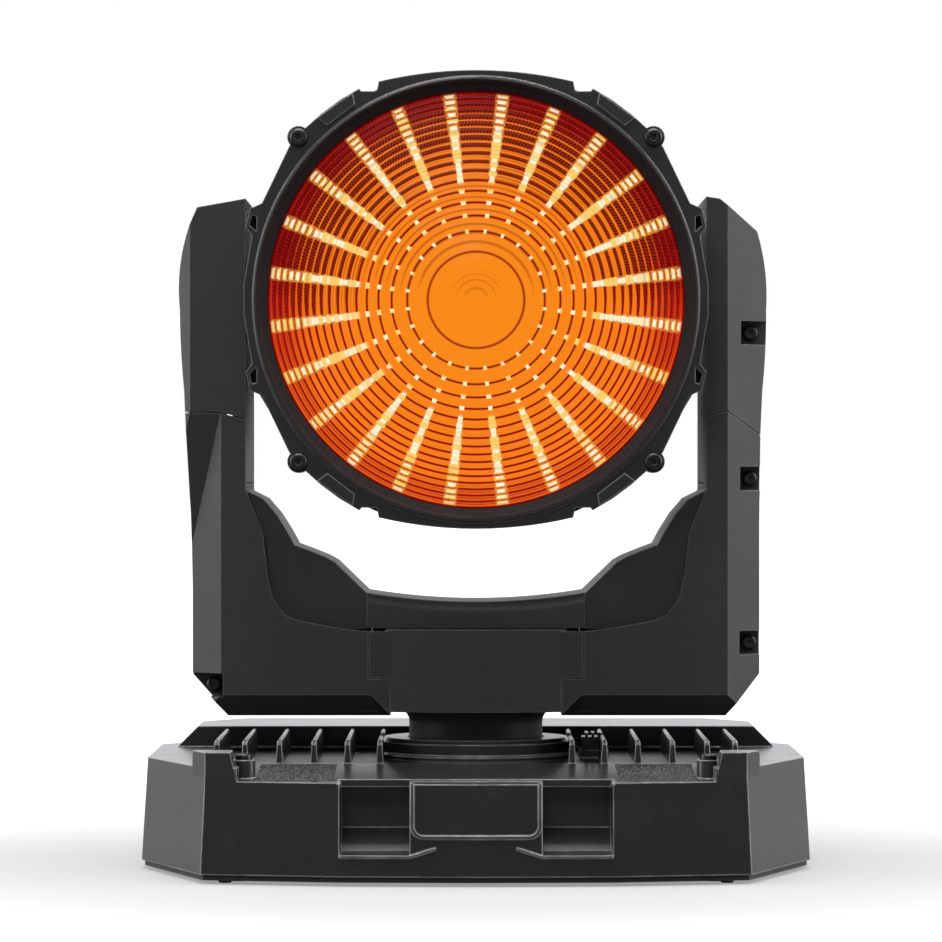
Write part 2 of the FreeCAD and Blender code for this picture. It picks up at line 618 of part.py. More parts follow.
# ---- Yoke

def yoke_frame():
    half = FRAME_DEPTH / 2
    side_outer = FRAME_SIDE_X + FRAME_PLATE
    floor = block(-side_outer, side_outer, -half - 4, half + 4, FRAME_Z, FRAME_TOP)
    profile = [(-half - 4, FRAME_Z), (half + 4, FRAME_Z), (half + 4, 130), (half - 4, 200),
               (half - 4, TILT_AXIS_Z), (0, TILT_AXIS_Z + half - 4, 4 - half, TILT_AXIS_Z),
               (4 - half, 200), (-half - 4, 130)]
    right = prism("yz", profile, FRAME_SIDE_X, side_outer)
    shelf = block(PAN_MOTOR_X - 24, FRAME_SIDE_X + 1, -24, 24, PAN_SHELF_Z, PAN_SHELF_Z + 3)
    legs = [block(PAN_MOTOR_X - 24, PAN_MOTOR_X - 21, y - 2, y + 2, FRAME_Z, PAN_SHELF_Z + 1)
            for y in (-22, 22)]
    frame = join(floor, shelf, *legs, *both_sides(right))
    cuts = [rod("x", (0, TILT_AXIS_Z), TILT_BEARING_RADIUS, -150, 150),
            rod("z", (0, 0), SPINDLE_RADIUS + 2, 0, FRAME_TOP + 1),
            rod("z", (PAN_MOTOR_X, 0), 6, FRAME_TOP + 1, PAN_SHELF_Z + 5),
            rod("x", (0, TILT_MOTOR_Z), 6, -150, -100)]
    cuts += [rod("x", (0, z), 10, -150, 150) for z in (160, 186, 212)]
    return frame.cut(cuts)


def arm_profile(mirrored):
    """Outer cover seen from the front: the arm, and its half of the crossbar."""
    inner = [(98.9, 156.8), (96.9, 138), (94.8, 128), (92, 123), (88.6, 118.5), (82.3, 116), (72, 114),
             (61.6, 112.2), (50, 111), (50, 89), (40, 89), (40, YOKE_BOTTOM)]
    if mirrored:
        outer = [(115.5, YOKE_BOTTOM), (132.3, 90.5), (132.3, 130), (133, 165), (135.7, 223),
                 (137.2, 242, 137.8, 261), (137.5, 282, 133, 300), (129.5, 308), (ARM_INNER_X, 312)]
    else:
        outer = [(116.4, YOKE_BOTTOM), (132.5, 91), (132.5, 161), (133, 202), (134, 223),
                 (135.4, 240, 135.9, 261), (135.2, 281, 131.4, 297.5), (113.3, 312), (ARM_INNER_X, 313)]
    return outer + [(ARM_INNER_X, 177)] + inner


def arm_bevels(mirrored):
    """Cutters that bevel the front of an arm cover, drawn on the right."""
    front = -YOKE_HALF
    far = 160.0
    slope = [(front - 1, 82.5), (front - 1, YOKE_BOTTOM - 2), (front + 12, YOKE_BOTTOM - 2)]
    foot = prism("yz", slope, 0, far)
    foot = foot.common(prism("xz", [(39, 60), (39, YOKE_BOTTOM), (50, 82.5), (far, 82.5), (far, 60)],
                             front - 2, 0))
    edge = 118.5 if mirrored else 117.0
    corner = [(edge - 1, front - 1), (far, front - 1), (far, front + far - edge)]
    bevel = prism("xy", corner, 0, 340)
    if mirrored:
        lean = 0.228
        top = 212.8
        wedge = [(front - 2, top + 2 / lean), (front - 2, 60), (front + (top - 60) * lean, 60)]
        bevel = bevel.common(prism("yz", wedge, 0, far))
        small = [(131.9, front - 1), (far, front - 1), (far, front + far - 132.9)]
        return [foot, bevel, prism("xy", small, 0, 340)]
    return [foot, bevel]


def arm_screw_places(mirrored):
    if mirrored:
        return [(122.5, 86.0)]
    return [(128.4, 250.0), (128.0, 182.0), (127.6, 105.5)]


def arm_cover(mirrored):
    profile = arm_profile(mirrored)
    solid = prism("xz", profile, -YOKE_HALF, YOKE_HALF)
    bevels = arm_bevels(mirrored)
    solid = solid.cut(bevels + [mirror_y(bevel) for bevel in bevels])
    depth = YOKE_HALF - COVER_WALL
    straight = [point[-2:] for point in profile]
    space = prism("xz", inset(straight, COVER_WALL), -depth, depth)
    inner_bevels = [bevel.translated(Vector(-1.5, 2.5, 0)) for bevel in bevels[1:]]
    foot = bevels[0].translated(Vector(0, 2.0, 2.0))
    inner_bevels.append(foot)
    pads = []
    floor_back = ARM_SCREW_FLOOR - 3
    reach = depth + 1
    for x, z in arm_screw_places(mirrored):
        frame = block(x - 8, x + 12, -reach, reach, z - 8, z + 8)
        frame = frame.cut(block(x - 5, x + 13, -reach - 1, reach + 1, z - 5.5, z + 5.5))
        floor = block(x - 8, x + 12, -ARM_SCREW_FLOOR, ARM_SCREW_FLOOR, z - 8, z + 8)
        middle = block(x - 9, x + 13, -floor_back, floor_back, z - 9, z + 9)
        pads += [frame.cut(middle), floor.cut(middle)]
    space = space.cut(inner_bevels + [mirror_y(bevel) for bevel in inner_bevels] + pads)
    half = GUSSET_DEPTH / 2
    openings = [
        block(ARM_INNER_X - 12, ARM_INNER_X + COVER_WALL + 1, -depth, depth, 179.5, 308),
        block(49, ARM_INNER_X, -half, half, 100, 178),
        block(30, 53, -half, half, FRAME_Z - 4, 110),
        block(30, 60, -depth, depth, 100, 108),
    ]
    notches = []
    for x, z in arm_screw_places(mirrored):
        for side in (1, -1):
            low, high = sorted((side * ARM_SCREW_FLOOR, side * 60))
            notches.append(block(x - 5, x + 20, low, high, z - 5.5, z + 5.5))
            notches.append(rod("y", (x, z), 1.6, side * 10, side * 40))
    return solid.cut([space] + openings + notches)


def split_arm(mirrored, cover):
    """Cap over the tilt bearing and cover below it, parted along a slanting crease."""
    if mirrored:
        line = [(90, 206.5), (ARM_INNER_X, 209.6), (119.7, 212.8), (150, 212.8)]
    else:
        line = [(90, 205.5), (116.4, 213.8), (133, 202.4), (150, 190.5)]
    seam = 0.25
    above = [(x, z + seam) for x, z in line] + [(150, 330), (90, 330)]
    below = [(x, z - seam) for x, z in line] + [(150, 60), (30, 60), (30, 206)]
    cap = cover.common(prism("xz", above, -YOKE_DEPTH, YOKE_DEPTH))
    lower = cover.common(prism("xz", below, -YOKE_DEPTH, YOKE_DEPTH))
    return cap, lower


def arm_inner_cover():
    half = YOKE_HALF - COVER_WALL - 0.1
    sheet = [(-half, 180), (half, 180), (half, 296), (half - 12, 307.8), (12 - half, 307.8), (-half, 296)]
    plate = prism("yz", sheet, ARM_INNER_X, ARM_INNER_X + COVER_WALL)
    return plate.cut(rod("x", (0, TILT_AXIS_Z), HUB_BOSS_RADIUS + 0.5, 0, 200))


def gusset():
    start = CROSSBAR_HALF + 0.2
    points = [(start, 112), (start, CROSSBAR_TOP), (65.7, 143), (70, 145.4), (78, 148.6), (84.5, 151),
              (88, 157.5), (93, 165.4), (99, 172.4), (ARM_INNER_X, 176.4), (ARM_INNER_X, 112)]
    half = GUSSET_DEPTH / 2 - 0.05
    space = [(u, v - COVER_WALL) for u, v in points[2:-1]]
    space = [(start + COVER_WALL, 100), (start + COVER_WALL, CROSSBAR_TOP - 1)] + space
    space += [(ARM_INNER_X + 1, 173.9), (ARM_INNER_X + 1, 100)]
    return prism("xz", points, -half, half).cut(prism("xz", space, COVER_WALL - half, half - COVER_WALL))


def crossbar_top():
    half = GUSSET_DEPTH / 2 + 2
    sag = 4.2
    skin = [(-CROSSBAR_HALF, CROSSBAR_BOTTOM), (CROSSBAR_HALF, CROSSBAR_BOTTOM),
            (CROSSBAR_HALF, CROSSBAR_TOP), (0, CROSSBAR_TOP - sag, -CROSSBAR_HALF, CROSSBAR_TOP)]
    solid = prism("xz", skin, -half, half)
    edges = [edge for edge in solid.Edges
             if abs(edge.Length - 2 * CROSSBAR_HALF) < 1.5 and edge.BoundBox.ZMax > CROSSBAR_TOP - sag]
    solid = solid.makeFillet(5, edges)
    inner = CROSSBAR_HALF - COVER_WALL
    roof = CROSSBAR_TOP - COVER_WALL - 0.9
    space = [(-inner, 100), (inner, 100), (inner, roof), (0, roof - sag + 0.4, -inner, roof)]
    return solid.cut(prism("xz", space, COVER_WALL - half, half - COVER_WALL))


def centre_cover():
    """Bowed cover over the middle of the crossbar, at the front."""
    bulge = 6.0
    front = -YOKE_HALF
    top = 112.0
    bow = [(-42, front + 1), (0, front - bulge, 42, front + 1), (42, front + 12), (-42, front + 12)]
    body = prism("xy", bow, YOKE_BOTTOM + 2, top)
    wings = [(-49.7, top - 1), (-49.7, 89.3), (-39.7, 89.3), (-39.7, YOKE_BOTTOM + 2),
             (39.7, YOKE_BOTTOM + 2), (39.7, 89.3), (49.7, 89.3), (49.7, top - 1)]
    wings = prism("xz", wings, front, front + 12)
    body = body.common(prism("xz", [(-60, 89.3), (-39.7, 89.3), (-39.7, 60), (39.7, 60), (39.7, 89.3),
                                    (60, 89.3), (60, 130), (-60, 130)], front - 20, 0))
    space = [(-47.2, front + 3), (-40, front + 2.6), (0, front + 2.6 - bulge, 40, front + 2.6),
             (47.2, front + 3), (47.2, front + 13), (-47.2, front + 13)]
    hollow = prism("xy", space, 60, top - COVER_WALL)
    flare = rod("z", (0, 0), NECK_RADIUS + NECK_FLARE + 1, 60, FRAME_Z + 1)
    return join(body, wings).cut([hollow, flare])


def tilt_bearing(side):
    x0 = FRAME_SIDE_X + 0.2
    bearing = ring("x", (0, TILT_AXIS_Z), TILT_BEARING_RADIUS, HUB_SHAFT_RADIUS + RUNNING_FIT, x0, x0 + 7)
    return bearing if side > 0 else mirror_x(bearing)


def pan_bearing():
    return ring("z", (0, 0), PAN_BEARING_RADIUS, SPINDLE_RADIUS + RUNNING_FIT, FRAME_Z - 9, FRAME_Z)


def arm_screws():
    screws = []
    for mirrored in (False, True):
        for x, z in arm_screw_places(mirrored):
            for side in (1, -1):
                place = Vector(-x if mirrored else x, side * ARM_SCREW_FLOOR, z)
                screws.append(screw(place, Vector(0, side, 0), 3.4, 2.4, 1.6, 8))
    return screws


# ---- Head

def bezel_path():
    quarter = [(44.5, 99.8), (45.4, 95.3), (52.6, 95.3), (53.5, 96.5), (62, 91.5), (71, 84.8), (78.6, 78),
               (85.5, 70), (98, 44), (103.4, 41.6), (105.4, 33), (102.5, 29.5), (BEZEL_HALF_WIDTH, 7)]
    path = quarter + [(x, -z) for x, z in reversed(quarter)]
    path += [(0, -BEZEL_HALF_HEIGHT, -44.5, -99.8)] + [(-x, -z) for x, z in quarter[1:]]
    path += [(-x, z) for x, z in reversed(quarter)]
    return path[1:] + [(0, BEZEL_HALF_HEIGHT, 44.5, 99.8)]


def bezel():
    plate = prism("xz", bezel_path(), BEZEL_FACE_Y, BEZEL_BACK_Y)
    bosses = [rod("y", place, 5.2, BEZEL_FACE_Y, BEZEL_BACK_Y) for place in quarter_copies([BEZEL_SCREW])]
    plate = join(plate, *bosses)
    bead = [(BEAD_INNER_RADIUS, BEZEL_FACE_Y + 1), (BEAD_INNER_RADIUS, HEAD_FRONT_Y + 1),
            (BEAD_INNER_RADIUS + 1.5, HEAD_FRONT_Y, BEAD_OUTER_RADIUS, HEAD_FRONT_Y + 1),
            (BEAD_OUTER_RADIUS, BEZEL_FACE_Y + 1)]
    pads = []
    for sx in (1, -1):
        for sz in (1, -1):
            pad = [(55.5, 89.2), (68, 79.6), (72.5, 83), (61.5, 91), (56.5, 94.2)]
            pads.append(prism("xz", [(x * sx, z * sz) for x, z in pad], BEZEL_FACE_Y - 1.2, BEZEL_FACE_Y + 1))
    plate = join(plate, turned(bead, "y"), *pads)
    seat_y = LENS_FRONT_Y - GASKET_THICKNESS
    flare = [(0, HEAD_FRONT_Y - 1), (BEAD_INNER_RADIUS, HEAD_FRONT_Y - 1), (BEAD_INNER_RADIUS, BEZEL_FACE_Y),
             (APERTURE_RADIUS, seat_y - 1.4), (APERTURE_RADIUS, seat_y), (0, seat_y)]
    cuts = [turned(flare, "y"), rod("y", (0, 0), APERTURE_RADIUS, HEAD_FRONT_Y, 0),
            rod("y", (0, 0), LENS_SEAT_RADIUS, seat_y, BEZEL_BACK_Y + 1)]
    cuts += [rod("y", place, 2.1, HEAD_FRONT_Y, 0) for place in quarter_copies([BEZEL_SCREW])]
    for sx in (1, -1):
        lug = [(100.4, 38), (100.4, 31), (103.6, 34), (102.6, 38.6)]
        cuts += [prism("xz", [(x * sx, z * sz) for x, z in lug], BEZEL_FACE_Y - 1, BEZEL_FACE_Y + 8)
                 for sz in (1, -1)]
    for notch in both_sides(block(46, 52, BEZEL_FACE_Y - 1, BEZEL_FACE_Y + 7, 100.2, 104)):
        cuts += [notch, notch.mirror(ORIGIN, UP)]
    return plate.cut(cuts)


def lens():
    """Stepped lens: flat front, rings of prisms behind."""
    zones = 12
    depth = 1.2
    profile = [(0, LENS_FRONT_Y), (LENS_RADIUS, LENS_FRONT_Y), (LENS_RADIUS, LENS_BACK_Y)]
    step = (LENS_RADIUS - 6) / zones
    for i in range(zones, 0, -1):
        profile += [(step * i, LENS_BACK_Y), (step * i, LENS_BACK_Y - depth)]
    return turned(profile + [(0, LENS_BACK_Y)], "y")


def lens_gasket():
    front = LENS_FRONT_Y - GASKET_THICKNESS
    return ring("y", (0, 0), LENS_RADIUS, APERTURE_RADIUS + 0.2, front, LENS_FRONT_Y)


def lens_retaining_ring():
    return ring("y", (0, 0), LENS_RADIUS, LENS_RADIUS - 4, LENS_BACK_Y, BEZEL_BACK_Y)


def front_shell_path(scale):
    quarter = [(44, 98), (62, 89.6), (84.5, 69), (FRONT_HALF_WIDTH, 42)]
    corners = quarter + [(x, -z) for x, z in reversed(quarter)]
    corners += [(-x, -z) for x, z in corners]
    return [(x * scale, z * scale) for x, z in corners]


def rear_path(distance=0.0, scale=1.0):
    upper = [(HEAD_HALF_WIDTH, 36), (76, CHEEK_LOW), (16, CHEEK_LOW), (-4, CHEEK_TOP), (-72, CHEEK_TOP),
             (-HEAD_HALF_WIDTH, 50)]
    path = upper + [(-x, -z) for x, z in upper]
    return [(x * scale, z * scale) for x, z in inset(path, distance)]


def front_shell():
    small = HEAD_HALF_WIDTH / FRONT_HALF_WIDTH
    outside = taper("xz", front_shell_path(1.0), BEZEL_BACK_Y, front_shell_path(small), SHELL_SPLIT_Y)
    inside = taper("xz", inset(front_shell_path(1.0), 2.2), BEZEL_BACK_Y - 0.1,
                   inset(front_shell_path(small), COVER_WALL), SHELL_SPLIT_Y - COVER_WALL)
    shell = outside.cut(inside)
    screws = quarter_copies([BEZEL_SCREW])
    bosses = [rod("y", place, 5.0, BEZEL_BACK_Y, BEZEL_BACK_Y + 14) for place in screws]
    posts = [rod("y", place, 3, LED_BOARD_BACK_Y, SHELL_SPLIT_Y - 1)
             for place in ((24, 77), (44, 68), (-24, -77), (-44, -68))]
    shell = join(shell, *bosses, *posts)
    cuts = [prism("xz", rear_path(3.2), SHELL_SPLIT_Y - 5, SHELL_SPLIT_Y + 1)]
    cuts += [rod("y", place, 2.0, BEZEL_BACK_Y - 1, BEZEL_BACK_Y + 11) for place in screws]
    return shell.cut(cuts)


def rear_shell():
    """Whole rear housing; it is parted into halves afterwards."""
    outside = join(prism("xz", rear_path(), SHELL_SPLIT_Y, SHELL_TAPER_Y),
                   taper("xz", rear_path(), SHELL_TAPER_Y, rear_path(0, REAR_SCALE), HEAD_REAR_Y))
    inside = join(prism("xz", rear_path(COVER_WALL), SHELL_SPLIT_Y - 1, SHELL_TAPER_Y),
                  taper("xz", rear_path(COVER_WALL), SHELL_TAPER_Y,
                        rear_path(COVER_WALL, REAR_SCALE), HEAD_REAR_Y - COVER_WALL))
    cuts = [rod("x", (0, 0), HUB_BOSS_RADIUS + 0.2, -120, 120),
            rod("y", (0, 0), FAN_BORE_RADIUS - 1, SHELL_TAPER_Y, HEAD_REAR_Y + 1)]
    slot = 3.2
    for i in range(11):
        x = -66 + 5.6 * i
        y = 22 + 2 * (i % 2)
        cuts.append(block(x, x + slot - 0.6, y, y + 46, 70, 90))
        cuts.append(block(-x - slot + 0.6, -x, y, y + 46, -90, -70))
    back = SHELL_SPLIT_Y + COVER_WALL
    mouth = inset(front_shell_path(HEAD_HALF_WIDTH / FRONT_HALF_WIDTH), COVER_WALL + LOOSE_GAP)
    end_walls = prism("xz", rear_path(), SHELL_SPLIT_Y, back)
    end_walls = end_walls.cut([prism("xz", mouth, SHELL_SPLIT_Y - 1, back + 1),
                               block(-120, 120, SHELL_SPLIT_Y - 1, back + 1, -END_WALL_HALF, END_WALL_HALF)])
    return join(outside.cut([inside] + cuts), end_walls)


def rear_shell_half(side):
    gap = 0.1
    if side > 0:
        return rear_shell().common(block(-120, 120, -40, 130, gap, 120))
    return rear_shell().common(block(-120, 120, -40, 130, -120, -gap))


def rear_vent_grille():
    start = HEAD_REAR_Y - COVER_WALL
    outer = FAN_BORE_RADIUS - 1 - 0.1
    rims = [ring("y", (0, 0), outer - 5.6 * i, outer - 5.6 * i - 1.8, start, HEAD_REAR_Y) for i in range(5)]
    bars = []
    for angle in range(0, 180, 45):
        bar = block(-outer + 0.6, outer - 0.6, start, HEAD_REAR_Y, -0.9, 0.9)
        bars.append(bar.rotated(ORIGIN, BACK, angle))
    return join(rod("y", (0, 0), 9, start, HEAD_REAR_Y), *rims, *bars)


def head_chassis():
    plate = prism("xz", rear_path(3.2), -2, 1)
    inner = HEAD_HALF_WIDTH - 9
    sides = [block(inner, inner + 3, -34, 34, -34, 34).common(rod("x", (0, 0), 40, inner, inner + 3))]
    sides.append(mirror_x(sides[0]))
    cuts = [rod("y", (0, 0), 30, -5, 5), rod("y", (ZOOM_SCREW_X, 0), 8, -5, 5)]
    cuts += [rod("y", centre, ROD_RADIUS, -5, 5) for centre in rod_centres()]
    cuts += [rod("y", (x, z), 9, -5, 5) for x, z in ((-66, 40), (-66, -30), (66, -40), (66, 30))]
    plate = plate.common(block(-inner - 3, inner + 3, -2, 1, -90, 90))
    return join(plate, *sides).cut(cuts)


def tilt_hub(side):
    inner = HEAD_HALF_WIDTH - 6
    reach = TILT_PULLEY_X + PULLEY_WIDTH + 2 if side < 0 else FRAME_SIDE_X + 12
    hub = join(rod("x", (0, 0), HUB_FLANGE_RADIUS, inner, HEAD_HALF_WIDTH - COVER_WALL - 0.1),
               rod("x", (0, 0), HUB_BOSS_RADIUS, inner, ARM_INNER_X - 2),
               rod("x", (0, 0), HUB_SHAFT_RADIUS, inner, reach))
    hub = hub.cut(rod("x", (0, 0), 8, 0, 200))
    return hub if side > 0 else mirror_x(hub)


def tilt_pulley():
    x0 = -TILT_PULLEY_X - PULLEY_WIDTH
    wheel = ring("x", (0, 0), TILT_PULLEY_RADIUS, HUB_SHAFT_RADIUS, x0, -TILT_PULLEY_X)
    holes = [rod("x", (21 * cos(radians(a)), 21 * sin(radians(a))), 5, x0 - 1, 0) for a in range(0, 360, 60)]
    return wheel.cut(holes)


def rod_centres():
    return [(ROD_CIRCLE * cos(radians(a)), ROD_CIRCLE * sin(radians(a))) for a in (100, 260)]


def guide_rods():
    return [rod("y", centre, ROD_RADIUS, -2, -66) for centre in rod_centres()]


def zoom_carriage():
    plate = rod("y", (0, 0), 62, CARRIAGE_Y, CARRIAGE_Y + 3)
    plate = plate.common(block(-44, 66, -60, 0, -62, 62))
    bushes = [rod("y", centre, 6, CARRIAGE_Y, CARRIAGE_Y + 8) for centre in rod_centres()]
    nut = rod("y", (ZOOM_SCREW_X, 0), 6, CARRIAGE_Y, CARRIAGE_Y + 7)
    rim = ring("y", (0, 0), 33, 30, CARRIAGE_Y - 5, CARRIAGE_Y)
    carriage = join(plate, nut, rim, *bushes)
    cuts = [rod("y", (0, 0), 28, CARRIAGE_Y - 9, 0),
            rod("y", (ZOOM_SCREW_X, 0), ROD_RADIUS + RUNNING_FIT, CARRIAGE_Y - 5, 0)]
    cuts += [rod("y", centre, ROD_RADIUS + RUNNING_FIT, CARRIAGE_Y - 5, 0) for centre in rod_centres()]
    return carriage.cut(cuts)


def zoom_lens():
    radius = 30.0
    profile = [(0, CARRIAGE_Y - 6), (radius, CARRIAGE_Y - 3, ), (radius, CARRIAGE_Y), (0, CARRIAGE_Y)]
    return turned(profile, "y")


def zoom_motor():
    body = rod("y", (ZOOM_SCREW_X, 0), 17, 1, 23)
    return body.cut(rod("y", (ZOOM_SCREW_X, 0), ROD_RADIUS + RUNNING_FIT, 0, 16))


def zoom_lead_screw():
    return rod("y", (ZOOM_SCREW_X, 0), ROD_RADIUS, 14, -66)


def led_ring_board():
    """Ring board, with its emitters as solids of their own on its front."""
    front = LED_BOARD_BACK_Y - 1.6
    radius = LED_RING_RADIUS
    solids = [ring("y", (0, 0), radius + 12, radius - 11, front, LED_BOARD_BACK_Y)]
    for i in range(LED_COUNT):
        chip = block(radius - 3.5, radius + 3.5, front - 2, front, -3.5, 3.5)
        solids.append(chip.rotated(ORIGIN, BACK, (i + 0.5) * 360 / LED_COUNT))
    return solids


def led_engine():
    base = rod("y", (0, 0), 26, -4, 1)
    return join(base, block(-10, 10, -6, -4, -10, 10))


def collimator():
    return turned([(14.5, -4), (17.5, -4), (27, -30), (24, -30)], "y")


def heat_sink():
    base = block(-SINK_HALF, SINK_HALF, 1, 9, -SINK_HALF, SINK_HALF)
    fins = [block(-SINK_HALF + 6.65 * i, 2 - SINK_HALF + 6.65 * i, 8, FAN_FRONT_Y, -SINK_HALF, SINK_HALF)
            for i in range(12)]
    return join(base, *fins)


def fan_frame():
    y0 = FAN_FRONT_Y
    y1 = y0 + FAN_DEPTH
    frame = block(-FAN_HALF, FAN_HALF, y0, y1, -FAN_HALF, FAN_HALF).cut(
        rod("y", (0, 0), FAN_BORE_RADIUS, y0 - 1, y1 + 1))
    arms = []
    for angle in (0, 90):
        arm = block(-FAN_BORE_RADIUS - 1, FAN_BORE_RADIUS + 1, y1 - 3, y1, -2, 2)
        arms.append(arm.rotated(ORIGIN, BACK, 45 + angle))
    pin = rod("y", (0, 0), 2, y0 + 5, y1 - 1)
    frame = join(frame, rod("y", (0, 0), 15, y1 - 3, y1), pin, *arms)
    return frame.cut([rod("y", place, 2.1, y0 - 1, y1 + 1) for place in quarter_copies([(35.7, 35.7)])])


def fan_rotor():
    y0 = FAN_FRONT_Y + 2
    hub = rod("y", (0, 0), 15, y0, y0 + 14)
    blades = []
    for i in range(FAN_BLADES):
        blade = block(14, FAN_BORE_RADIUS - 1.5, -0.8, 0.8, -9, 9)
        blade = blade.rotated(ORIGIN, ACROSS, 52)
        blade = blade.translated(Vector(0, y0 + 7, 0))
        blades.append(blade.rotated(ORIGIN, BACK, i * 360 / FAN_BLADES))
    rotor = join(hub, *blades).common(rod("y", (0, 0), FAN_BORE_RADIUS - 1.4, y0, y0 + 14))
    return rotor.cut(rod("y", (0, 0), 2 + RUNNING_FIT, y0 - 1, y0 + 16))


def bezel_screws():
    return [screw(Vector(x, BEZEL_FACE_Y, z), Vector(0, -1, 0), 4.0, 2.8, 2.0, 26)
            for x, z in quarter_copies([BEZEL_SCREW])]


# ---- Assembly

def base_parts():
    feet = [rod("z", place, FOOT_RADIUS, 0, FOOT_HEIGHT) for place in quarter_copies([FOOT_PLACE])]
    screws = [screw(Vector(x * side, y, FOOT_HEIGHT), Vector(0, 0, -1), 3.0, 1.2, 1.5, 10)
              for x, y in BASE_SCREWS for side in (1, -1)]
    screws += [screw(Vector(DECK_BOLT[0] * side, DECK_BOLT[1], DECK_BOLT_Z), UP, 3.8, 2.8, 2.0, 9)
               for side in (1, -1)]
    parts = {
        "base_housing": base_housing(), "base_heat_sink": heat_sink_deck(),
        "base_bottom_plate": base_bottom_plate(), "base_feet": feet, "base_screws": screws,
        "power_supply": power_supply(), "main_board": main_board(), "rear_panel": rear_panel(),
        "power_sockets": [socket(x) for x in SOCKET_CENTRES[:2]],
        "data_sockets": [socket(x) for x in SOCKET_CENTRES[2:]],
        "socket_contacts": socket_contacts(), "display_board": display_board(),
        "display_window": display_window(), "pan_collar": pan_collar(), "pan_spindle": pan_spindle(),
        "pan_lock_slider": pan_lock_slider(),
    }
    for number, x in enumerate(BUTTON_CENTRES, 1):
        parts[f"menu_button_{number}"] = menu_button(x)
    return parts


def yoke_parts():
    left_cap, left_cover = split_arm(True, arm_cover(True))
    right_cap, right_cover = split_arm(False, arm_cover(False))
    pan_centre = (PAN_MOTOR_X, 0)
    tilt_centre = (0, TILT_MOTOR_Z)
    pan_face = PAN_SHELF_Z + 3
    pulley_end = -TILT_PULLEY_X - PULLEY_WIDTH
    belt_top = PAN_BELT_Z + PULLEY_WIDTH
    return {
        "yoke_frame": yoke_frame(),
        "arm_caps": [mirror_x(left_cap), right_cap],
        "left_arm_cover": mirror_x(left_cover), "right_arm_cover": right_cover,
        "arm_inner_covers": both_sides(arm_inner_cover()), "gussets": both_sides(gusset()),
        "crossbar_top": crossbar_top(), "centre_covers": [centre_cover(), mirror_y(centre_cover())],
        "pan_neck": neck(), "pan_bearing": pan_bearing(), "arm_screws": arm_screws(),
        "tilt_bearings": [tilt_bearing(-1), tilt_bearing(1)],
        "pan_motor": motor("z", pan_centre, pan_face, MOTOR_LENGTH),
        "pan_motor_pulley": motor_pulley("z", pan_centre, pan_face + 15, PAN_BELT_Z, belt_top),
        "pan_belt": belt("xy", (0, 0), PAN_PULLEY_RADIUS, pan_centre, MOTOR_PULLEY_RADIUS,
                         PAN_BELT_Z + 1, belt_top - 1),
        "tilt_motor": motor("x", tilt_centre, -FRAME_SIDE_X, MOTOR_LENGTH),
        "tilt_motor_pulley": motor_pulley("x", tilt_centre, 15 - FRAME_SIDE_X, -TILT_PULLEY_X, pulley_end),
        "tilt_belt": belt("yz", (0, TILT_AXIS_Z), TILT_PULLEY_RADIUS, tilt_centre, MOTOR_PULLEY_RADIUS,
                          pulley_end + 1, -TILT_PULLEY_X - 1),
    }


def head_parts():
    return {
        "bezel": bezel(), "lens": lens(), "lens_gasket": lens_gasket(),
        "lens_retaining_ring": lens_retaining_ring(), "bezel_screws": bezel_screws(),
        "front_shell": front_shell(), "upper_rear_shell": rear_shell_half(1),
        "lower_rear_shell": rear_shell_half(-1), "rear_vent_grille": rear_vent_grille(),
        "head_chassis": head_chassis(), "tilt_hubs": [tilt_hub(-1), tilt_hub(1)],
        "tilt_pulley": tilt_pulley(), "guide_rods": guide_rods(), "zoom_carriage": zoom_carriage(),
        "zoom_lens": zoom_lens(), "zoom_motor": zoom_motor(), "zoom_lead_screw": zoom_lead_screw(),
        "led_ring_board": led_ring_board(), "led_engine": [led_engine(), collimator()],
        "head_heat_sink": heat_sink(), "fan_frame": fan_frame(), "fan_rotor": fan_rotor(),
    }


def write_parts(parts, place=lambda shape: shape):
    for name, shape in parts.items():
        if isinstance(shape, list):
            shape = Part.makeCompound(shape)
        placed = place(shape)
        placed.exportStep(f"parts/{name}.step")
        print(name, len(placed.Solids), placed.isValid(), round(placed.Volume))


os.makedirs("parts", exist_ok=True)
write_parts(base_parts())
write_parts(yoke_parts())
write_parts(head_parts(), lifted)
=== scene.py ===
import json
import math

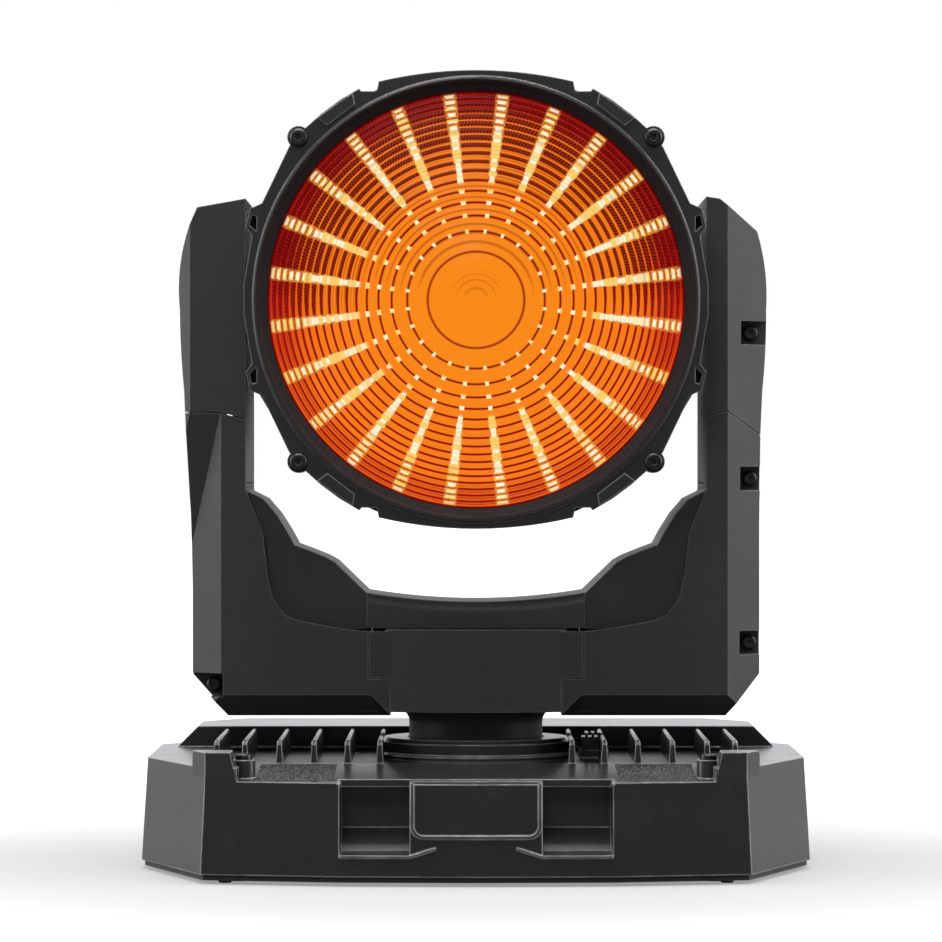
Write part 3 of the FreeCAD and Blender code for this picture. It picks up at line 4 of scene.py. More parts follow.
import bmesh
import bpy
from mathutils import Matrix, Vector


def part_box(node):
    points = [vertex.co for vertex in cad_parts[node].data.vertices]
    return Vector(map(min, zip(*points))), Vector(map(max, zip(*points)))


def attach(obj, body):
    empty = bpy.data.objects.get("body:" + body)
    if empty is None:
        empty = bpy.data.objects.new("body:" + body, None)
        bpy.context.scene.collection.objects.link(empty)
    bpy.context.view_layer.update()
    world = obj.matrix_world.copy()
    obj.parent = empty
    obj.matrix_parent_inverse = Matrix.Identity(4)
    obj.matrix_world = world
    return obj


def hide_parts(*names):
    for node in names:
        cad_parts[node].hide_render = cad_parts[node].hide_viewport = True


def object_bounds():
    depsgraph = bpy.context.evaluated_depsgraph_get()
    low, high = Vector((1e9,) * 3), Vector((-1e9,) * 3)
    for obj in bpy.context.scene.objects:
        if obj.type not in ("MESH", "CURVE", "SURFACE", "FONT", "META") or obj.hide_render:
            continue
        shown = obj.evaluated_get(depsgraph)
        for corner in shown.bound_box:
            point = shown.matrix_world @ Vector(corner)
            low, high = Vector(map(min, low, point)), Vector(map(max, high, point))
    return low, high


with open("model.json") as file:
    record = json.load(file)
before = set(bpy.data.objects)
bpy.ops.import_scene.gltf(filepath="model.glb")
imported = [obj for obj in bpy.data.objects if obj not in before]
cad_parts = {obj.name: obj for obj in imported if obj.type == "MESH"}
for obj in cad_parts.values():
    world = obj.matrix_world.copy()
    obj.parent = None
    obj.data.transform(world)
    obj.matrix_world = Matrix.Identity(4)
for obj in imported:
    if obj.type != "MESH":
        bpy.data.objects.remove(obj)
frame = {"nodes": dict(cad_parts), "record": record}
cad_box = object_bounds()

MM = 0.001
FLOOR_Z = cad_box[0].z - 0.2 * MM
FLOOR_HALF = 30.0

LENS_LOW, LENS_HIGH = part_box("lens")
LENS_CENTRE = (LENS_LOW + LENS_HIGH) / 2
LENS_RADIUS = (LENS_HIGH.x - LENS_LOW.x) / 2

# The lens's main rings lie at r squared = RING_FIRST + n * RING_STEP, in square millimetres.
RING_FIRST = 490.0
RING_STEP = 505.0
SPOKES = 24

# Steps cut into the lens's front face
RING_DEPTH = 0.75 * MM
STEP_DEPTH = 0.28 * MM
STEP_FACE = 0.12 * MM
STEP_PITCH = 1.6 * MM
CENTRE_STEPS = 5
CENTRE_SINK = 0.1 * MM
RIM_MARGIN = 2 * MM
LENS_SEGMENTS = 240

# Where the lens's pattern changes, in millimetres from its centre: a fade runs from 0 at the first
# radius to 1 at the second, and a zone is (inner, outer, soft edge).
RINGS_FADE = (18.5, 20.5)
ARCS_FADE = (16.0, 11.0)
DASHED_LINES_FADE = (23.0, 27.0)
INNER_LINES_FADE = (60.0, 52.0)
MIDDLE_LINES_ZONE = (56.0, 74.0, 5.0)
OUTER_FADE = (50.0, 62.0)
FAR_OUT_FADE = (66.0, 76.0)
SIDES_FADE = (70.0, 88.0)
RIM_FADE = (82.0, 90.0)
SPOKE_START_FADE = (23.0, 33.0)
SPOKE_END_FADE = (96.0, 93.0)
TICKS_FADE = (64.0, 56.0)
BARS_ZONE = (57.0, 76.0, 5.0)
DASHES_FADE = (70.0, 78.0)
GLOW_START_FADE = (56.0, 66.0)
GLOW_END_FADE = (96.0, 92.0)
BEADS_FADE = (40.0, 66.0)
ORANGE_FADE = (20.0, 90.0)
DARK_EDGE_FADE = (94.8, 95.8)
LENS_GLOW = 0.97

# The bezel's wall round the lens, inside this radius in millimetres
BEZEL_WALL_FADE = (LENS_RADIUS / MM + 3.6, LENS_RADIUS / MM + 2.4)

# The two speckled panels on the base's front slope: (low, high, soft edge) in metres
SPECKLE_SIDE = (0.0645, 0.0992, 0.0006)
SPECKLE_FRONT = (-0.1165, -0.0560, 0.0012)
SPECKLE_UP = (0.0455, 0.0463)

# Area lights: name, place, width, height and power; all face LIGHT_TARGET
LIGHT_TARGET = (0, 0, 0.2)
LIGHTS = (
    ("left_box", (-1.5, -0.15, 0.6), 0.6, 1.4, 20),
    ("right_box", (1.5, -0.15, 0.6), 0.6, 1.4, 20),
    ("top_box", (0, -0.15, 1.6), 1.4, 0.8, 36),
    ("front_strip", (-0.4, -2.6, 1.9), 1.2, 0.7, 30),
)

CAMERA_PLACE = (-2.3 * MM, -2.3, 185.5 * MM)
CAMERA_LENS = 185.6
CAMERA_SENSOR = 36


# ---- Node helpers

def linear(red, green, blue):
    """Linear colour from 0 to 255 display values."""
    def channel(value):
        value /= 255
        return value / 12.92 if value <= 0.04045 else ((value + 0.055) / 1.055) ** 2.4
    return (channel(red), channel(green), channel(blue), 1.0)


class Graph:
    """A material's node tree, with sums written as calls."""

    def __init__(self, name):
        self.material = bpy.data.materials.new(name)
        self.material.use_nodes = True
        self.nodes = self.material.node_tree.nodes
        self.links = self.material.node_tree.links
        self.shader = self.nodes["Principled BSDF"]
        self.coordinates = self.nodes.new("ShaderNodeTexCoord").outputs["Object"]

    def feed(self, socket, value):
        if isinstance(value, bpy.types.NodeSocket):
            self.links.new(value, socket)
        else:
            socket.default_value = value

    def math(self, operation, *values):
        node = self.nodes.new("ShaderNodeMath")
        node.operation = operation
        for socket, value in zip(node.inputs, values):
            self.feed(socket, value)
        return node.outputs[0]

    def add(self, a, b):
        return self.math("ADD", a, b)

    def sub(self, a, b):
        return self.math("SUBTRACT", a, b)

    def mul(self, first, *others):
        for other in others:
            first = self.math("MULTIPLY", first, other)
        return first

    def most(self, a, b):
        return self.math("MAXIMUM", a, b)

    def size(self, value):
        return self.math("ABSOLUTE", value)

    def fraction(self, value):
        return self.math("FRACT", value)

    def step(self, value, low, high):
        """Smooth rise from 0 at low to 1 at high; a fall where low is the larger."""
        node = self.nodes.new("ShaderNodeMapRange")
        node.interpolation_type = "SMOOTHSTEP"
        self.feed(node.inputs["Value"], value)
        limits = (("From Min", low), ("From Max", high), ("To Min", 0.0), ("To Max", 1.0))
        for name, number in limits:
            self.feed(node.inputs[name], number)
        return node.outputs["Result"]

    def band(self, value, low, high, soft):
        """1 from low to high, with soft edges outside them."""
        return self.mul(self.step(value, low - soft, low), self.step(value, high + soft, high))

    def blend(self, factor, first, second, kind="MIX"):
        node = self.nodes.new("ShaderNodeMix")
        node.data_type = "RGBA"
        node.blend_type = kind
        self.feed(node.inputs[0], factor)
        self.feed(node.inputs[6], first)
        self.feed(node.inputs[7], second)
        return node.outputs[2]

    def grey(self, value):
        node = self.nodes.new("ShaderNodeCombineXYZ")
        for socket in node.inputs:
            self.feed(socket, value)
        return node.outputs[0]

    def between(self, factor, low, high):
        return self.add(self.mul(factor, high - low), low)

    def noise(self, scale, detail=3.0, roughness=0.55, vector=None):
        node = self.nodes.new("ShaderNodeTexNoise")
        self.feed(node.inputs["Vector"], vector or self.coordinates)
        node.inputs["Scale"].default_value = scale
        node.inputs["Detail"].default_value = detail
        node.inputs["Roughness"].default_value = roughness
        return node.outputs["Fac"]

    def cells(self, scale):
        node = self.nodes.new("ShaderNodeTexVoronoi")
        self.feed(node.inputs["Vector"], self.coordinates)
        node.inputs["Scale"].default_value = scale
        return node.outputs["Distance"]

    def stretched(self, *scales):
        """Coordinates with their own scale along X, Y and Z."""
        node = self.nodes.new("ShaderNodeMapping")
        self.links.new(self.coordinates, node.inputs["Vector"])
        node.inputs["Scale"].default_value = scales
        return node.outputs[0]

    def place(self):
        """X, Y and Z as three values."""
        node = self.nodes.new("ShaderNodeSeparateXYZ")
        self.feed(node.inputs[0], self.coordinates)
        return node.outputs[0:3]

    def edge(self, radius):
        """1 on sharp edges, 0 on flats."""
        bevel = self.nodes.new("ShaderNodeBevel")
        bevel.samples = 4
        bevel.inputs["Radius"].default_value = radius
        flat = self.nodes.new("ShaderNodeNewGeometry").outputs["Normal"]
        dot = self.nodes.new("ShaderNodeVectorMath")
        dot.operation = "DOT_PRODUCT"
        self.links.new(bevel.outputs[0], dot.inputs[0])
        self.links.new(flat, dot.inputs[1])
        return self.step(dot.outputs["Value"], 0.995, 0.85)

    def bump(self, height, distance, strength=1.0, rounding=0.0):
        node = self.nodes.new("ShaderNodeBump")
        node.inputs["Strength"].default_value = strength
        node.inputs["Distance"].default_value = distance
        self.feed(node.inputs["Height"], height)
        if rounding:
            bevel = self.nodes.new("ShaderNodeBevel")
            bevel.samples = 6
            bevel.inputs["Radius"].default_value = rounding
            self.links.new(bevel.outputs[0], node.inputs["Normal"])
        self.links.new(node.outputs[0], self.shader.inputs["Normal"])

    def finish(self, **values):
        """Feed the shader's sockets by name, with _ for a space."""
        for name, value in values.items():
            self.feed(self.shader.inputs[name.replace("_", " ")], value)
        return self.material


# ---- Finishes

def moulded_plastic(name, dark, light, rough_low, rough_high, grain=1500, depth=0.05, shine=0.42):
    """Fine textured moulding: grain, soft tone changes and paler, smoother edges, the paleness
    part rubbed wear and part painted highlight.
    """
    g = Graph(name)
    tone = g.noise(14, 4)
    fine = g.noise(grain, 2, 0.5)
    edge = g.edge(0.9 * MM)
    cloud = g.mul(g.add(tone, g.mul(fine, 0.5)), 0.66)
    colour = g.blend(cloud, linear(*dark), linear(*light))
    pale = linear(*[min(255, value + 52) for value in light])
    # Edges painted paler: part rubbed wear, part painted highlight.
    wear_and_highlight = g.mul(edge, g.between(g.step(g.noise(160), 0.3, 0.7), 0.45, 1.0))
    colour = g.blend(wear_and_highlight, colour, pale)
    rough = g.between(g.noise(45, 5), rough_low, rough_high)
    rough = g.sub(rough, g.mul(edge, 0.08))
    height = g.add(fine, g.mul(g.noise(grain * 2.3, 1), 0.5))
    g.bump(height, depth * MM, rounding=0.5 * MM)
    return g.finish(Base_Color=colour, Roughness=rough, Specular_IOR_Level=shine)


def cast_paint(name):
    """Gloss black paint on a casting, with coarse speckle on the two sloping front panels."""
    g = Graph(name)
    x, y, z = g.place()
    panel = g.mul(g.band(g.size(x), *SPECKLE_SIDE),
                  g.mul(g.step(z, *SPECKLE_UP), g.band(y, *SPECKLE_FRONT)))
    grit = g.noise(1300, 2, 0.6, g.stretched(1.0, 0.16, 0.6))
    speck = g.step(grit, 0.50, 0.60)
    peel = g.noise(330, 3, 0.5)
    pits = g.noise(1500, 2, 0.5)
    edge = g.edge(1.1 * MM)
    scuff = g.step(g.noise(75, 5, 0.7), 0.60, 0.72)
    base = g.blend(g.noise(9, 3), linear(24, 24, 25), linear(36, 36, 37))
    base = g.blend(g.mul(scuff, 0.25), base, linear(62, 62, 63))
    # Edges painted pale grey: part rubbed wear, part painted highlight on fin tops and beads.
    wear_and_highlight = g.mul(edge, g.between(g.step(g.noise(120), 0.3, 0.7), 0.5, 1.0))
    base = g.blend(wear_and_highlight, base, linear(188, 188, 190))
    speckle = g.blend(speck, linear(14, 14, 15), linear(74, 74, 76))
    colour = g.blend(panel, base, speckle)
    rough = g.add(g.between(g.noise(60, 4), 0.26, 0.42), g.mul(panel, 0.35))
    height = g.add(g.add(g.mul(peel, 0.5), g.mul(pits, 0.35)), g.mul(panel, g.mul(grit, 2.5)))
    g.bump(height, 0.08 * MM, rounding=0.9 * MM)
    return g.finish(Base_Color=colour, Roughness=rough, Specular_IOR_Level=0.45,
                    Coat_Weight=g.sub(0.3, g.mul(panel, 0.3)), Coat_Roughness=0.18)


def machined(name, colour, rough):
    """Bare or oxidised metal with fine tool marks."""
    g = Graph(name)
    marks = g.noise(900, 2, 0.5, g.stretched(1.0, 6.0, 1.0))
    tone = g.noise(70, 4)
    dark = linear(*[value * 0.78 for value in colour])
    pale = linear(*[min(255, value * 1.3 + 20) for value in colour])
    shade = g.blend(g.add(g.mul(marks, 0.4), g.mul(tone, 0.6)), dark, linear(*colour))
    # Edges painted paler: a painted highlight.
    shade = g.blend(g.mul(g.edge(0.4 * MM), 0.5), shade, pale)
    g.bump(marks, 0.02 * MM, 0.6, 0.25 * MM)
    return g.finish(Base_Color=shade, Roughness=g.between(tone, rough, rough + 0.14), Metallic=1.0)


def bezel_plastic(name):
    """Satin bezel with its edges painted pale as a painted highlight; its wall round the lens is
    near black with a painted red glow from the lit lens, lighter and darker in rings along its
    fine turned steps.
    """
    g = Graph(name)
    lens = Lens(g)
    wall = g.step(lens.radius, *BEZEL_WALL_FADE)
    turned = g.size(g.sub(g.mul(g.fraction(g.mul(lens.radius, 1.25)), 2.0), 1.0))
    tone = g.noise(16, 4)
    fine = g.noise(1700, 2, 0.5)
    edge = g.edge(0.8 * MM)
    cloud = g.mul(g.add(tone, g.mul(fine, 0.5)), 0.66)
    colour = g.blend(cloud, linear(30, 30, 31), linear(46, 46, 47))
    # Edges painted pale grey: a painted highlight.
    colour = g.blend(edge, colour, linear(142, 142, 144))
    # The wall's near-black red is a painted glow of the lit lens, with lighter and darker rings
    # along the turned steps.
    dark = g.blend(g.step(turned, 0.55, 0.9), linear(10, 2, 3), linear(34, 6, 8))
    colour = g.blend(wall, colour, dark)
    height = g.add(g.mul(fine, 0.35), g.mul(g.mul(wall, turned), 1.5))
    g.bump(height, 0.06 * MM, rounding=0.6 * MM)
    rough = g.add(g.between(g.noise(50, 4), 0.30, 0.44), g.mul(wall, 0.45))
    return g.finish(Base_Color=colour, Roughness=rough, Specular_IOR_Level=0.36)


def rubber(name):
    """Matt rubber with pale dust."""
    g = Graph(name)
    dust = g.step(g.noise(120, 5), 0.52, 0.8)
    colour = g.blend(dust, linear(17, 17, 18), linear(40, 40, 40))
    g.bump(g.noise(2400, 2), 0.06 * MM, 0.7, 0.4 * MM)
    return g.finish(Base_Color=colour, Roughness=g.between(dust, 0.7, 0.9))


def circuit_board(name):
    """Green mask with tracks and pads."""
    g = Graph(name)
    brick = g.nodes.new("ShaderNodeTexBrick")
    g.links.new(g.coordinates, brick.inputs["Vector"])
    brick.inputs["Scale"].default_value = 220
    brick.inputs["Mortar Size"].default_value = 0.06
    tracks = g.mul(brick.outputs["Fac"], g.step(g.noise(55, 2), 0.42, 0.5))
    pads = g.step(g.cells(190), 0.16, 0.12)
    colour = g.blend(tracks, linear(10, 58, 34), linear(28, 98, 58))
    plated = g.mul(pads, g.step(g.noise(40), 0.5, 0.55))
    colour = g.blend(plated, colour, linear(196, 178, 120))
    g.bump(tracks, 0.05 * MM, 0.8)
    return g.finish(Base_Color=colour, Roughness=g.between(g.noise(90), 0.28, 0.42))


def tinted_glass(name, dark, light, rough):
    """Coated glass with faint smears."""
    g = Graph(name)
    smear = g.step(g.noise(38, 5), 0.45, 0.75)
    colour = g.blend(smear, linear(*dark), linear(*light))
    g.bump(g.noise(60, 2), 0.02 * MM, 0.3)
    return g.finish(Base_Color=colour, Roughness=g.between(smear, rough, rough + 0.08),
                    Coat_Weight=0.6, Coat_Roughness=0.05)


# ---- The lit lens

class Lens:
    """Places on the lens, for a shader: millimetres from its centre, zones and spokes."""

    def __init__(self, g):
        x, y, z = g.place()
        across = g.mul(g.sub(x, LENS_CENTRE.x), 1 / MM)
        up = g.mul(g.sub(z, LENS_CENTRE.z), 1 / MM)
        square = g.add(g.mul(across, across), g.mul(up, up))
        self.radius = g.math("SQRT", square)
        self.angle = g.math("ARCTAN2", up, across)
        self.height = g.math("DIVIDE", up, g.most(self.radius, 1.0))
        self.phase = g.add(g.mul(g.sub(square, RING_FIRST), 1 / RING_STEP), 4.0)
        self.zone_width = g.math("DIVIDE", RING_STEP / 2, g.most(self.radius, 18.0))
        self.turn = g.add(g.mul(self.angle, SPOKES / (2 * math.pi)), SPOKES)

    def line(self, g, times, shift, width, soft):
        """Lines at a multiple of the zones: 1 on a line of that share of its pitch."""
        cycle = g.fraction(g.add(g.mul(self.phase, times), shift))
        near = g.size(g.sub(g.mul(cycle, 2.0), 1.0))
        limit = g.sub(1.0, width)
        return g.step(near, g.sub(limit, soft), g.add(limit, soft))


def lens_bands(g, lens, upper, outer, sides):
    """Dark bands at the zone edges: thin low down, most of the zone in the upper outer part."""
    share = g.math("DIVIDE", 0.95, lens.zone_width)
    share = g.add(share, g.mul(outer, upper, 0.19))
    share = g.add(share, g.mul(g.step(lens.radius, *FAR_OUT_FADE), upper, 0.30))
    share = g.add(share, g.mul(sides, 0.12))
    return g.mul(lens.line(g, 1.0, 0.0, share, 0.10), g.step(lens.radius, *RINGS_FADE))


def lens_lines(g, lens, upper, tilted, rim):
    """Thin lines within the zones: broken inside, streaked further out, arcs on the hub."""
    radius = lens.radius
    halves = lens.line(g, 2.0, 0.12, 0.30, 0.12)
    thirds = lens.line(g, 3.0, 0.30, 0.34, 0.14)
    dots = g.size(g.sub(g.fraction(g.mul(lens.angle, 36.0)), 0.5))
    dots = g.step(dots, 0.16, 0.26)
    streak = g.step(g.noise(26, 2), 0.38, 0.62)
    inner = g.mul(halves, g.step(radius, *INNER_LINES_FADE), g.step(tilted, 0.0, 0.55))
    inner = g.mul(inner, g.mul(g.step(radius, *DASHED_LINES_FADE), g.between(dots, 0.35, 0.95)))
    middle = g.mul(thirds, g.band(radius, *MIDDLE_LINES_ZONE))
    middle = g.mul(middle, g.between(streak, 0.15, 0.85), g.between(upper, 0.12, 0.9))
    edge = g.mul(halves, rim, g.between(streak, 0.55, 1.0))
    arcs = g.mul(g.step(tilted, 0.1, 0.8), g.step(radius, *ARCS_FADE))
    arcs = g.mul(lens.line(g, 9.0, 0.2, 0.24, 0.14), arcs, g.between(dots, 0.1, 0.45))
    return g.most(g.most(g.mul(inner, 0.7), arcs), g.most(middle, edge))


def lens_spokes(g, lens, jitter):
    """Spokes with ticks on the inner rings, bars in the middle and dashes further out.

    Gives the lit dashes, the soft glow round the outer ones and each dash's own random value."""
    radius = lens.radius
    block = g.nodes.new("ShaderNodeTexWhiteNoise")
    block.noise_dimensions = "2D"
    cell = g.nodes.new("ShaderNodeCombineXYZ")
    g.feed(cell.inputs[0], g.math("FLOOR", g.mul(lens.phase, 2.0)))
    g.feed(cell.inputs[1], g.math("FLOOR", lens.turn))
    g.links.new(cell.outputs[0], block.inputs["Vector"])
    chance = block.outputs["Value"]
    off_spoke = g.size(g.sub(g.fraction(lens.turn), 0.5))
    ragged = g.add(off_spoke, g.mul(g.sub(chance, 0.5), 0.05))
    ragged = g.add(ragged, g.mul(g.sub(jitter, 0.5), 0.05))
    spoke = g.step(ragged, 0.112, 0.078)
    tick = lens.line(g, 1.0, 0.0, g.math("DIVIDE", 1.9, lens.zone_width), 0.12)
    tick = g.mul(tick, g.step(radius, *TICKS_FADE))
    bar = g.between(lens.line(g, 2.0, 0.0, 0.22, 0.10), 1.0, 0.72)
    bar = g.mul(g.band(radius, *BARS_ZONE), bar)
    dash = g.mul(lens.line(g, 1.0, 0.5, 0.56, 0.12), g.step(radius, *DASHES_FADE))
    present = g.most(tick, g.most(bar, dash))
    length = g.mul(g.step(radius, *SPOKE_START_FADE), g.step(radius, *SPOKE_END_FADE))
    lit = g.mul(spoke, g.mul(present, length))
    glow = g.mul(g.step(off_spoke, 0.150, 0.110), g.step(radius, *GLOW_START_FADE))
    return lit, g.mul(glow, g.step(radius, *GLOW_END_FADE)), chance


def lens_glow(name):
    """The lit lens: orange zones, dark red ring lines, dashed pale spokes."""
    g = Graph(name)
    lens = Lens(g)
    radius = lens.radius
    jitter = g.noise(1100, 2, 0.6)
    tilted = g.add(lens.height, g.mul(g.sub(g.noise(45, 3), 0.5), 0.55))
    upper = g.step(tilted, -0.22, 0.30)
    outer = g.step(radius, *OUTER_FADE)
    rim = g.step(radius, *RIM_FADE)
    sides = g.mul(g.step(g.size(lens.height), 0.55, 0.15), g.step(radius, *SIDES_FADE))
    bands = lens_bands(g, lens, upper, outer, sides)
    lines = lens_lines(g, lens, upper, tilted, rim)
    lit, glow, chance = lens_spokes(g, lens, jitter)

    orange = g.blend(g.step(radius, *ORANGE_FADE), linear(253, 140, 25), linear(254, 124, 27))
    orange = g.blend(g.mul(sides, 0.65), orange, linear(222, 48, 20))
    orange = g.blend(g.mul(rim, g.between(upper, 0.45, 0.95)), orange, linear(198, 34, 18))
    red = g.blend(g.mul(outer, upper), linear(134, 12, 6), linear(98, 2, 8))
    rim_red = g.blend(upper, linear(158, 12, 12), linear(104, 4, 10))
    red = g.blend(g.mul(rim, 0.75), red, rim_red)
    red = g.blend(g.mul(g.step(jitter, 0.52, 0.66), 0.35), red, linear(176, 20, 14))
    colour = g.blend(g.mul(lines, 0.92), orange, red)

    # Pale beads in the dark bands
    row = g.mul(g.math("FLOOR", lens.phase), 0.37)
    beads = g.size(g.sub(g.fraction(g.add(g.mul(lens.angle, 52.0), row)), 0.5))
    beads = g.mul(g.step(beads, 0.22, 0.34), g.step(radius, *BEADS_FADE))
    beads = g.mul(g.mul(beads, 0.2), g.most(upper, sides))
    colour = g.blend(g.mul(bands, g.sub(1.0, beads)), colour, red)

    warm = g.blend(g.step(jitter, 0.4, 0.6), linear(222, 104, 34), linear(252, 168, 62))
    colour = g.blend(g.mul(glow, g.between(chance, 0.35, 0.8)), colour, warm)
    cream = g.blend(g.step(chance, 0.22, 0.60), linear(255, 212, 112), linear(255, 250, 214))
    cream = g.blend(g.mul(g.step(jitter, 0.55, 0.68), 0.6), cream, linear(255, 206, 104))
    colour = g.blend(lit, colour, cream)
    colour = g.blend(g.step(radius, *DARK_EDGE_FADE), colour, linear(30, 3, 4))
    colour = g.blend(1.0, colour, g.grey(g.between(jitter, 0.90, 1.08)), "MULTIPLY")
    g.bump(g.add(bands, lines), 0.12 * MM, 0.4)
    return g.finish(Base_Color=linear(24, 5, 3), Roughness=g.between(jitter, 0.16, 0.30),
                    Emission_Color=colour, Emission_Strength=LENS_GLOW, Specular_IOR_Level=0.04)


def make_finishes():
    """A material for each slot in the record."""
    return {
        "cast_black": cast_paint("cast_black_paint"),
        "fin_metal": cast_paint("fin_black_paint"),
        "yoke_plastic": moulded_plastic("yoke_plastic", (42, 42, 43), (60, 60, 61), 0.42, 0.56,
                                        shine=0.2),
        "head_plastic": moulded_plastic("head_plastic", (26, 26, 27), (40, 40, 41), 0.42, 0.56),
        "bezel_plastic": bezel_plastic("bezel_plastic"),
        "lens_clear": lens_glow("lens_glow"),
        "rubber_black": rubber("rubber_black"),
        "steel_dark": machined("steel_dark", (70, 70, 72), 0.28),
        "steel_bright": machined("steel_bright", (190, 190, 192), 0.20),
        "aluminium": machined("aluminium", (172, 173, 176), 0.32),
        "board_green": circuit_board("board_green"),
        "panel_black": moulded_plastic("panel_black", (24, 24, 25), (36, 36, 37), 0.38, 0.5,
                                       grain=900, depth=0.04),
        "window_dark": tinted_glass("window_dark", (8, 9, 12), (20, 22, 28), 0.06),
        "button_grey": moulded_plastic("button_grey", (96, 97, 99), (126, 127, 130), 0.42, 0.55),
        "brass": machined("brass", (206, 166, 88), 0.24),
        "motor_black": moulded_plastic("motor_black", (24, 24, 25), (38, 38, 40), 0.34, 0.46),
        "fan_black": moulded_plastic("fan_black", (20, 20, 21), (32, 32, 33), 0.40, 0.52),
        "optic_glass": tinted_glass("optic_glass", (150, 160, 165), (200, 208, 210), 0.05),
    }


def dress_cad_nodes(finishes):
    for entry in frame["record"]["subparts"]:
        node = frame["nodes"][entry["node"]]
        node.data.materials.clear()
        node.data.materials.append(finishes[entry["material_slot"]])


# ---- The lens's mesh

def turned_mesh(name, profile, segments, centre):
    """Closed solid of revolution about Y from (radius, y) points."""
    mesh = bpy.data.meshes.new(name)
    bm = bmesh.new()
    rings = []
    for radius, level in profile:
        if radius < 1e-6:
            rings.append([bm.verts.new((centre.x, level, centre.z))])
            continue
        ring = []
        for i in range(segments):
            angle = 2 * math.pi * i / segments
            ring.append(bm.verts.new((centre.x + radius * math.cos(angle), level,
                                      centre.z + radius * math.sin(angle))))
        rings.append(ring)
    for first, second in zip(rings, rings[1:]):
        for i in range(segments):
            j = (i + 1) % segments
            corners = [first[i % len(first)], first[j % len(first)],
                       second[j % len(second)], second[i % len(second)]]
            unique = list(dict.fromkeys(corners))
            if len(unique) > 2:
                bm.faces.new(unique)
    bmesh.ops.recalc_face_normals(bm, faces=bm.faces)
    bm.to_mesh(mesh)
    bm.free()
    return mesh


def main_ring_radii():
    radii = []
    square = RING_FIRST
    while math.sqrt(square) * MM < LENS_RADIUS - RIM_MARGIN:
        radii.append(math.sqrt(square) * MM)
        square += RING_STEP
    return radii


def stepped_lens(finishes):
    """Lens with a deep step at each main ring and finer steps between them."""
    front = LENS_LOW.y
    back = LENS_HIGH.y
    profile = [(0.0, front + CENTRE_SINK)]
    previous = 0.0
    for edge in main_ring_radii():
        steps = max(1, round((edge - previous) / STEP_PITCH)) if previous else CENTRE_STEPS
        for i in range(1, steps + 1):
            radius = previous + (edge - previous) * i / steps
            depth = RING_DEPTH if i == steps else STEP_DEPTH
            profile.append((radius - STEP_FACE, front + depth))
            profile.append((radius + STEP_FACE, front))
        previous = edge
    profile += [(LENS_RADIUS, front), (LENS_RADIUS, back), (0.0, back)]
    mesh = turned_mesh("stepped_lens", profile, LENS_SEGMENTS, LENS_CENTRE)
    lens = bpy.data.objects.new("stepped_lens", mesh)
    bpy.context.scene.collection.objects.link(lens)
    mesh.materials.append(finishes["lens_clear"])
    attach(lens, "head")
    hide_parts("lens")


# ---- Stage, lights and camera

def floor_finish(name):
    """White sweep: it glows by itself away from the light, so that it has no horizon."""
    g = Graph(name)
    x, y, z = g.place()
    away = g.math("SQRT", g.add(g.mul(x, x), g.mul(y, y)))
    seen = g.nodes.new("ShaderNodeLightPath").outputs["Is Camera Ray"]
    grey = g.blend(g.noise(3, 2), linear(96, 96, 96), linear(104, 104, 104))
    colour = g.blend(seen, grey, linear(126, 126, 126))
    glow = g.mul(seen, g.between(g.step(away, 0.20, 0.70), 0.32, 1.05))
    return g.finish(Base_Color=colour, Roughness=0.9, Emission_Color=(1, 1, 1, 1),
                    Emission_Strength=glow, Specular_IOR_Level=0.1)


def make_floor():
    half = FLOOR_HALF
    corners = [(-half, -half, 0), (half, -half, 0), (half, half, 0), (-half, half, 0)]
    mesh = bpy.data.meshes.new("floor")
    mesh.from_pydata(corners, [], [(0, 1, 2, 3)])
    floor = bpy.data.objects.new("floor", mesh)
    floor.location.z = FLOOR_Z
    bpy.context.scene.collection.objects.link(floor)
    mesh.materials.append(floor_finish("floor_white"))


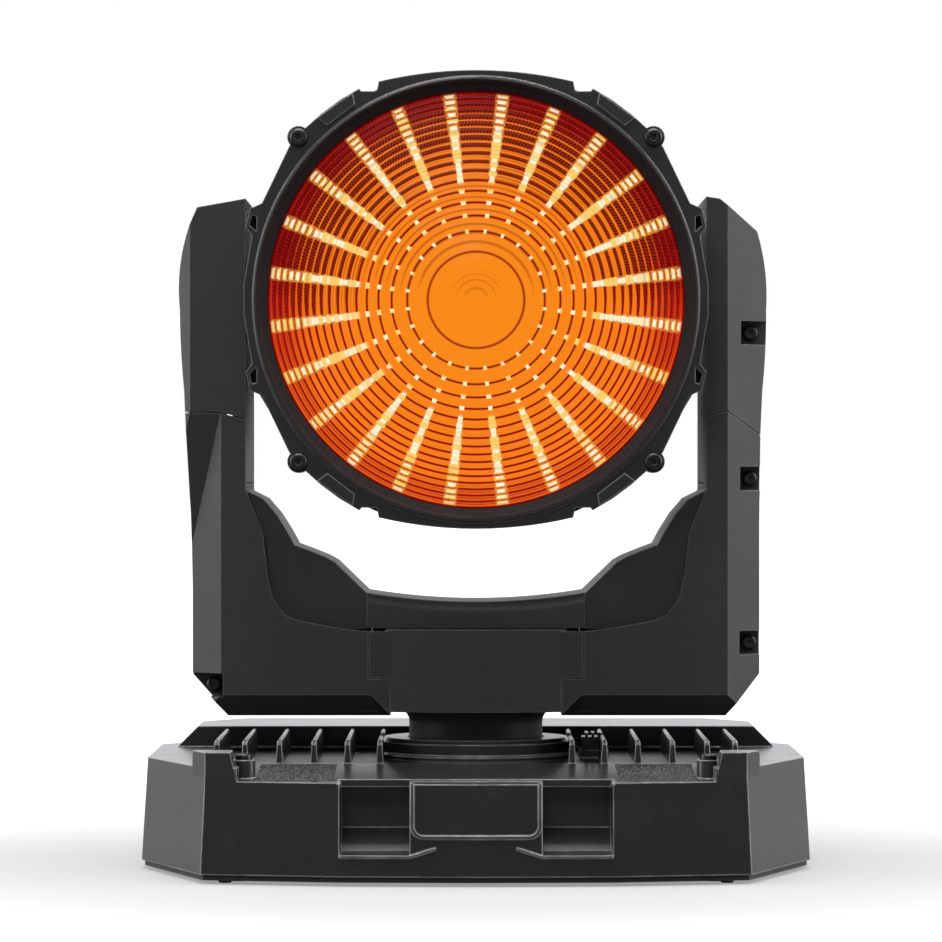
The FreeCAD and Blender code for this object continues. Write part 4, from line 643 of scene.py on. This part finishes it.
def make_world():
    """White to the eye; in reflections bright above, behind and at the sides, dark in front."""
    world = bpy.data.worlds.new("studio")
    bpy.context.scene.world = world
    world.use_nodes = True
    nodes = world.node_tree.nodes
    links = world.node_tree.links

    def step(value, low, high, start, end):
        node = nodes.new("ShaderNodeMapRange")
        node.interpolation_type = "SMOOTHSTEP"
        links.new(value, node.inputs["Value"])
        limits = (("From Min", low), ("From Max", high), ("To Min", start), ("To Max", end))
        for name, number in limits:
            node.inputs[name].default_value = number
        return node.outputs["Result"]

    way = nodes.new("ShaderNodeSeparateXYZ")
    links.new(nodes.new("ShaderNodeTexCoord").outputs["Generated"], way.inputs[0])
    sideways = nodes.new("ShaderNodeMath")
    sideways.operation = "ABSOLUTE"
    links.new(way.outputs[0], sideways.inputs[0])
    behind = step(way.outputs[1], -0.55, 0.6, 0.05, 1.25)
    beside = step(sideways.outputs[0], 0.45, 0.95, 0.0, 0.2)
    above = step(way.outputs[2], 0.35, 0.95, 0.0, 0.6)
    glow = behind
    for extra in (beside, above):
        total = nodes.new("ShaderNodeMath")
        links.new(glow, total.inputs[0])
        links.new(extra, total.inputs[1])
        glow = total.outputs[0]
    seen = nodes.new("ShaderNodeBackground")
    seen.inputs["Color"].default_value = (1, 1, 1, 1)
    ambient = nodes["Background"]
    ambient.inputs["Color"].default_value = (0.97, 0.98, 1.0, 1)
    links.new(glow, ambient.inputs["Strength"])
    path = nodes.new("ShaderNodeLightPath")
    mix = nodes.new("ShaderNodeMixShader")
    links.new(path.outputs["Is Camera Ray"], mix.inputs[0])
    links.new(ambient.outputs[0], mix.inputs[1])
    links.new(seen.outputs[0], mix.inputs[2])
    links.new(mix.outputs[0], nodes["World Output"].inputs["Surface"])


def make_lights():
    for name, place, width, height, power in LIGHTS:
        data = bpy.data.lights.new(name, "AREA")
        data.shape = "RECTANGLE"
        data.size = width
        data.size_y = height
        data.energy = power
        light = bpy.data.objects.new(name, data)
        light.location = place
        aim = Vector(LIGHT_TARGET) - Vector(place)
        light.rotation_euler = aim.to_track_quat("-Z", "Y").to_euler()
        bpy.context.scene.collection.objects.link(light)


def make_camera():
    camera = bpy.data.objects.new("camera", bpy.data.cameras.new("camera"))
    camera.data.sensor_width = CAMERA_SENSOR
    camera.data.lens = CAMERA_LENS
    camera.location = CAMERA_PLACE
    camera.rotation_euler = (math.pi / 2, 0, 0)
    bpy.context.scene.collection.objects.link(camera)
    bpy.context.scene.camera = camera


finishes = make_finishes()
dress_cad_nodes(finishes)
stepped_lens(finishes)
make_floor()
make_world()
make_lights()
make_camera()
bpy.context.scene.view_settings.view_transform = "Standard"
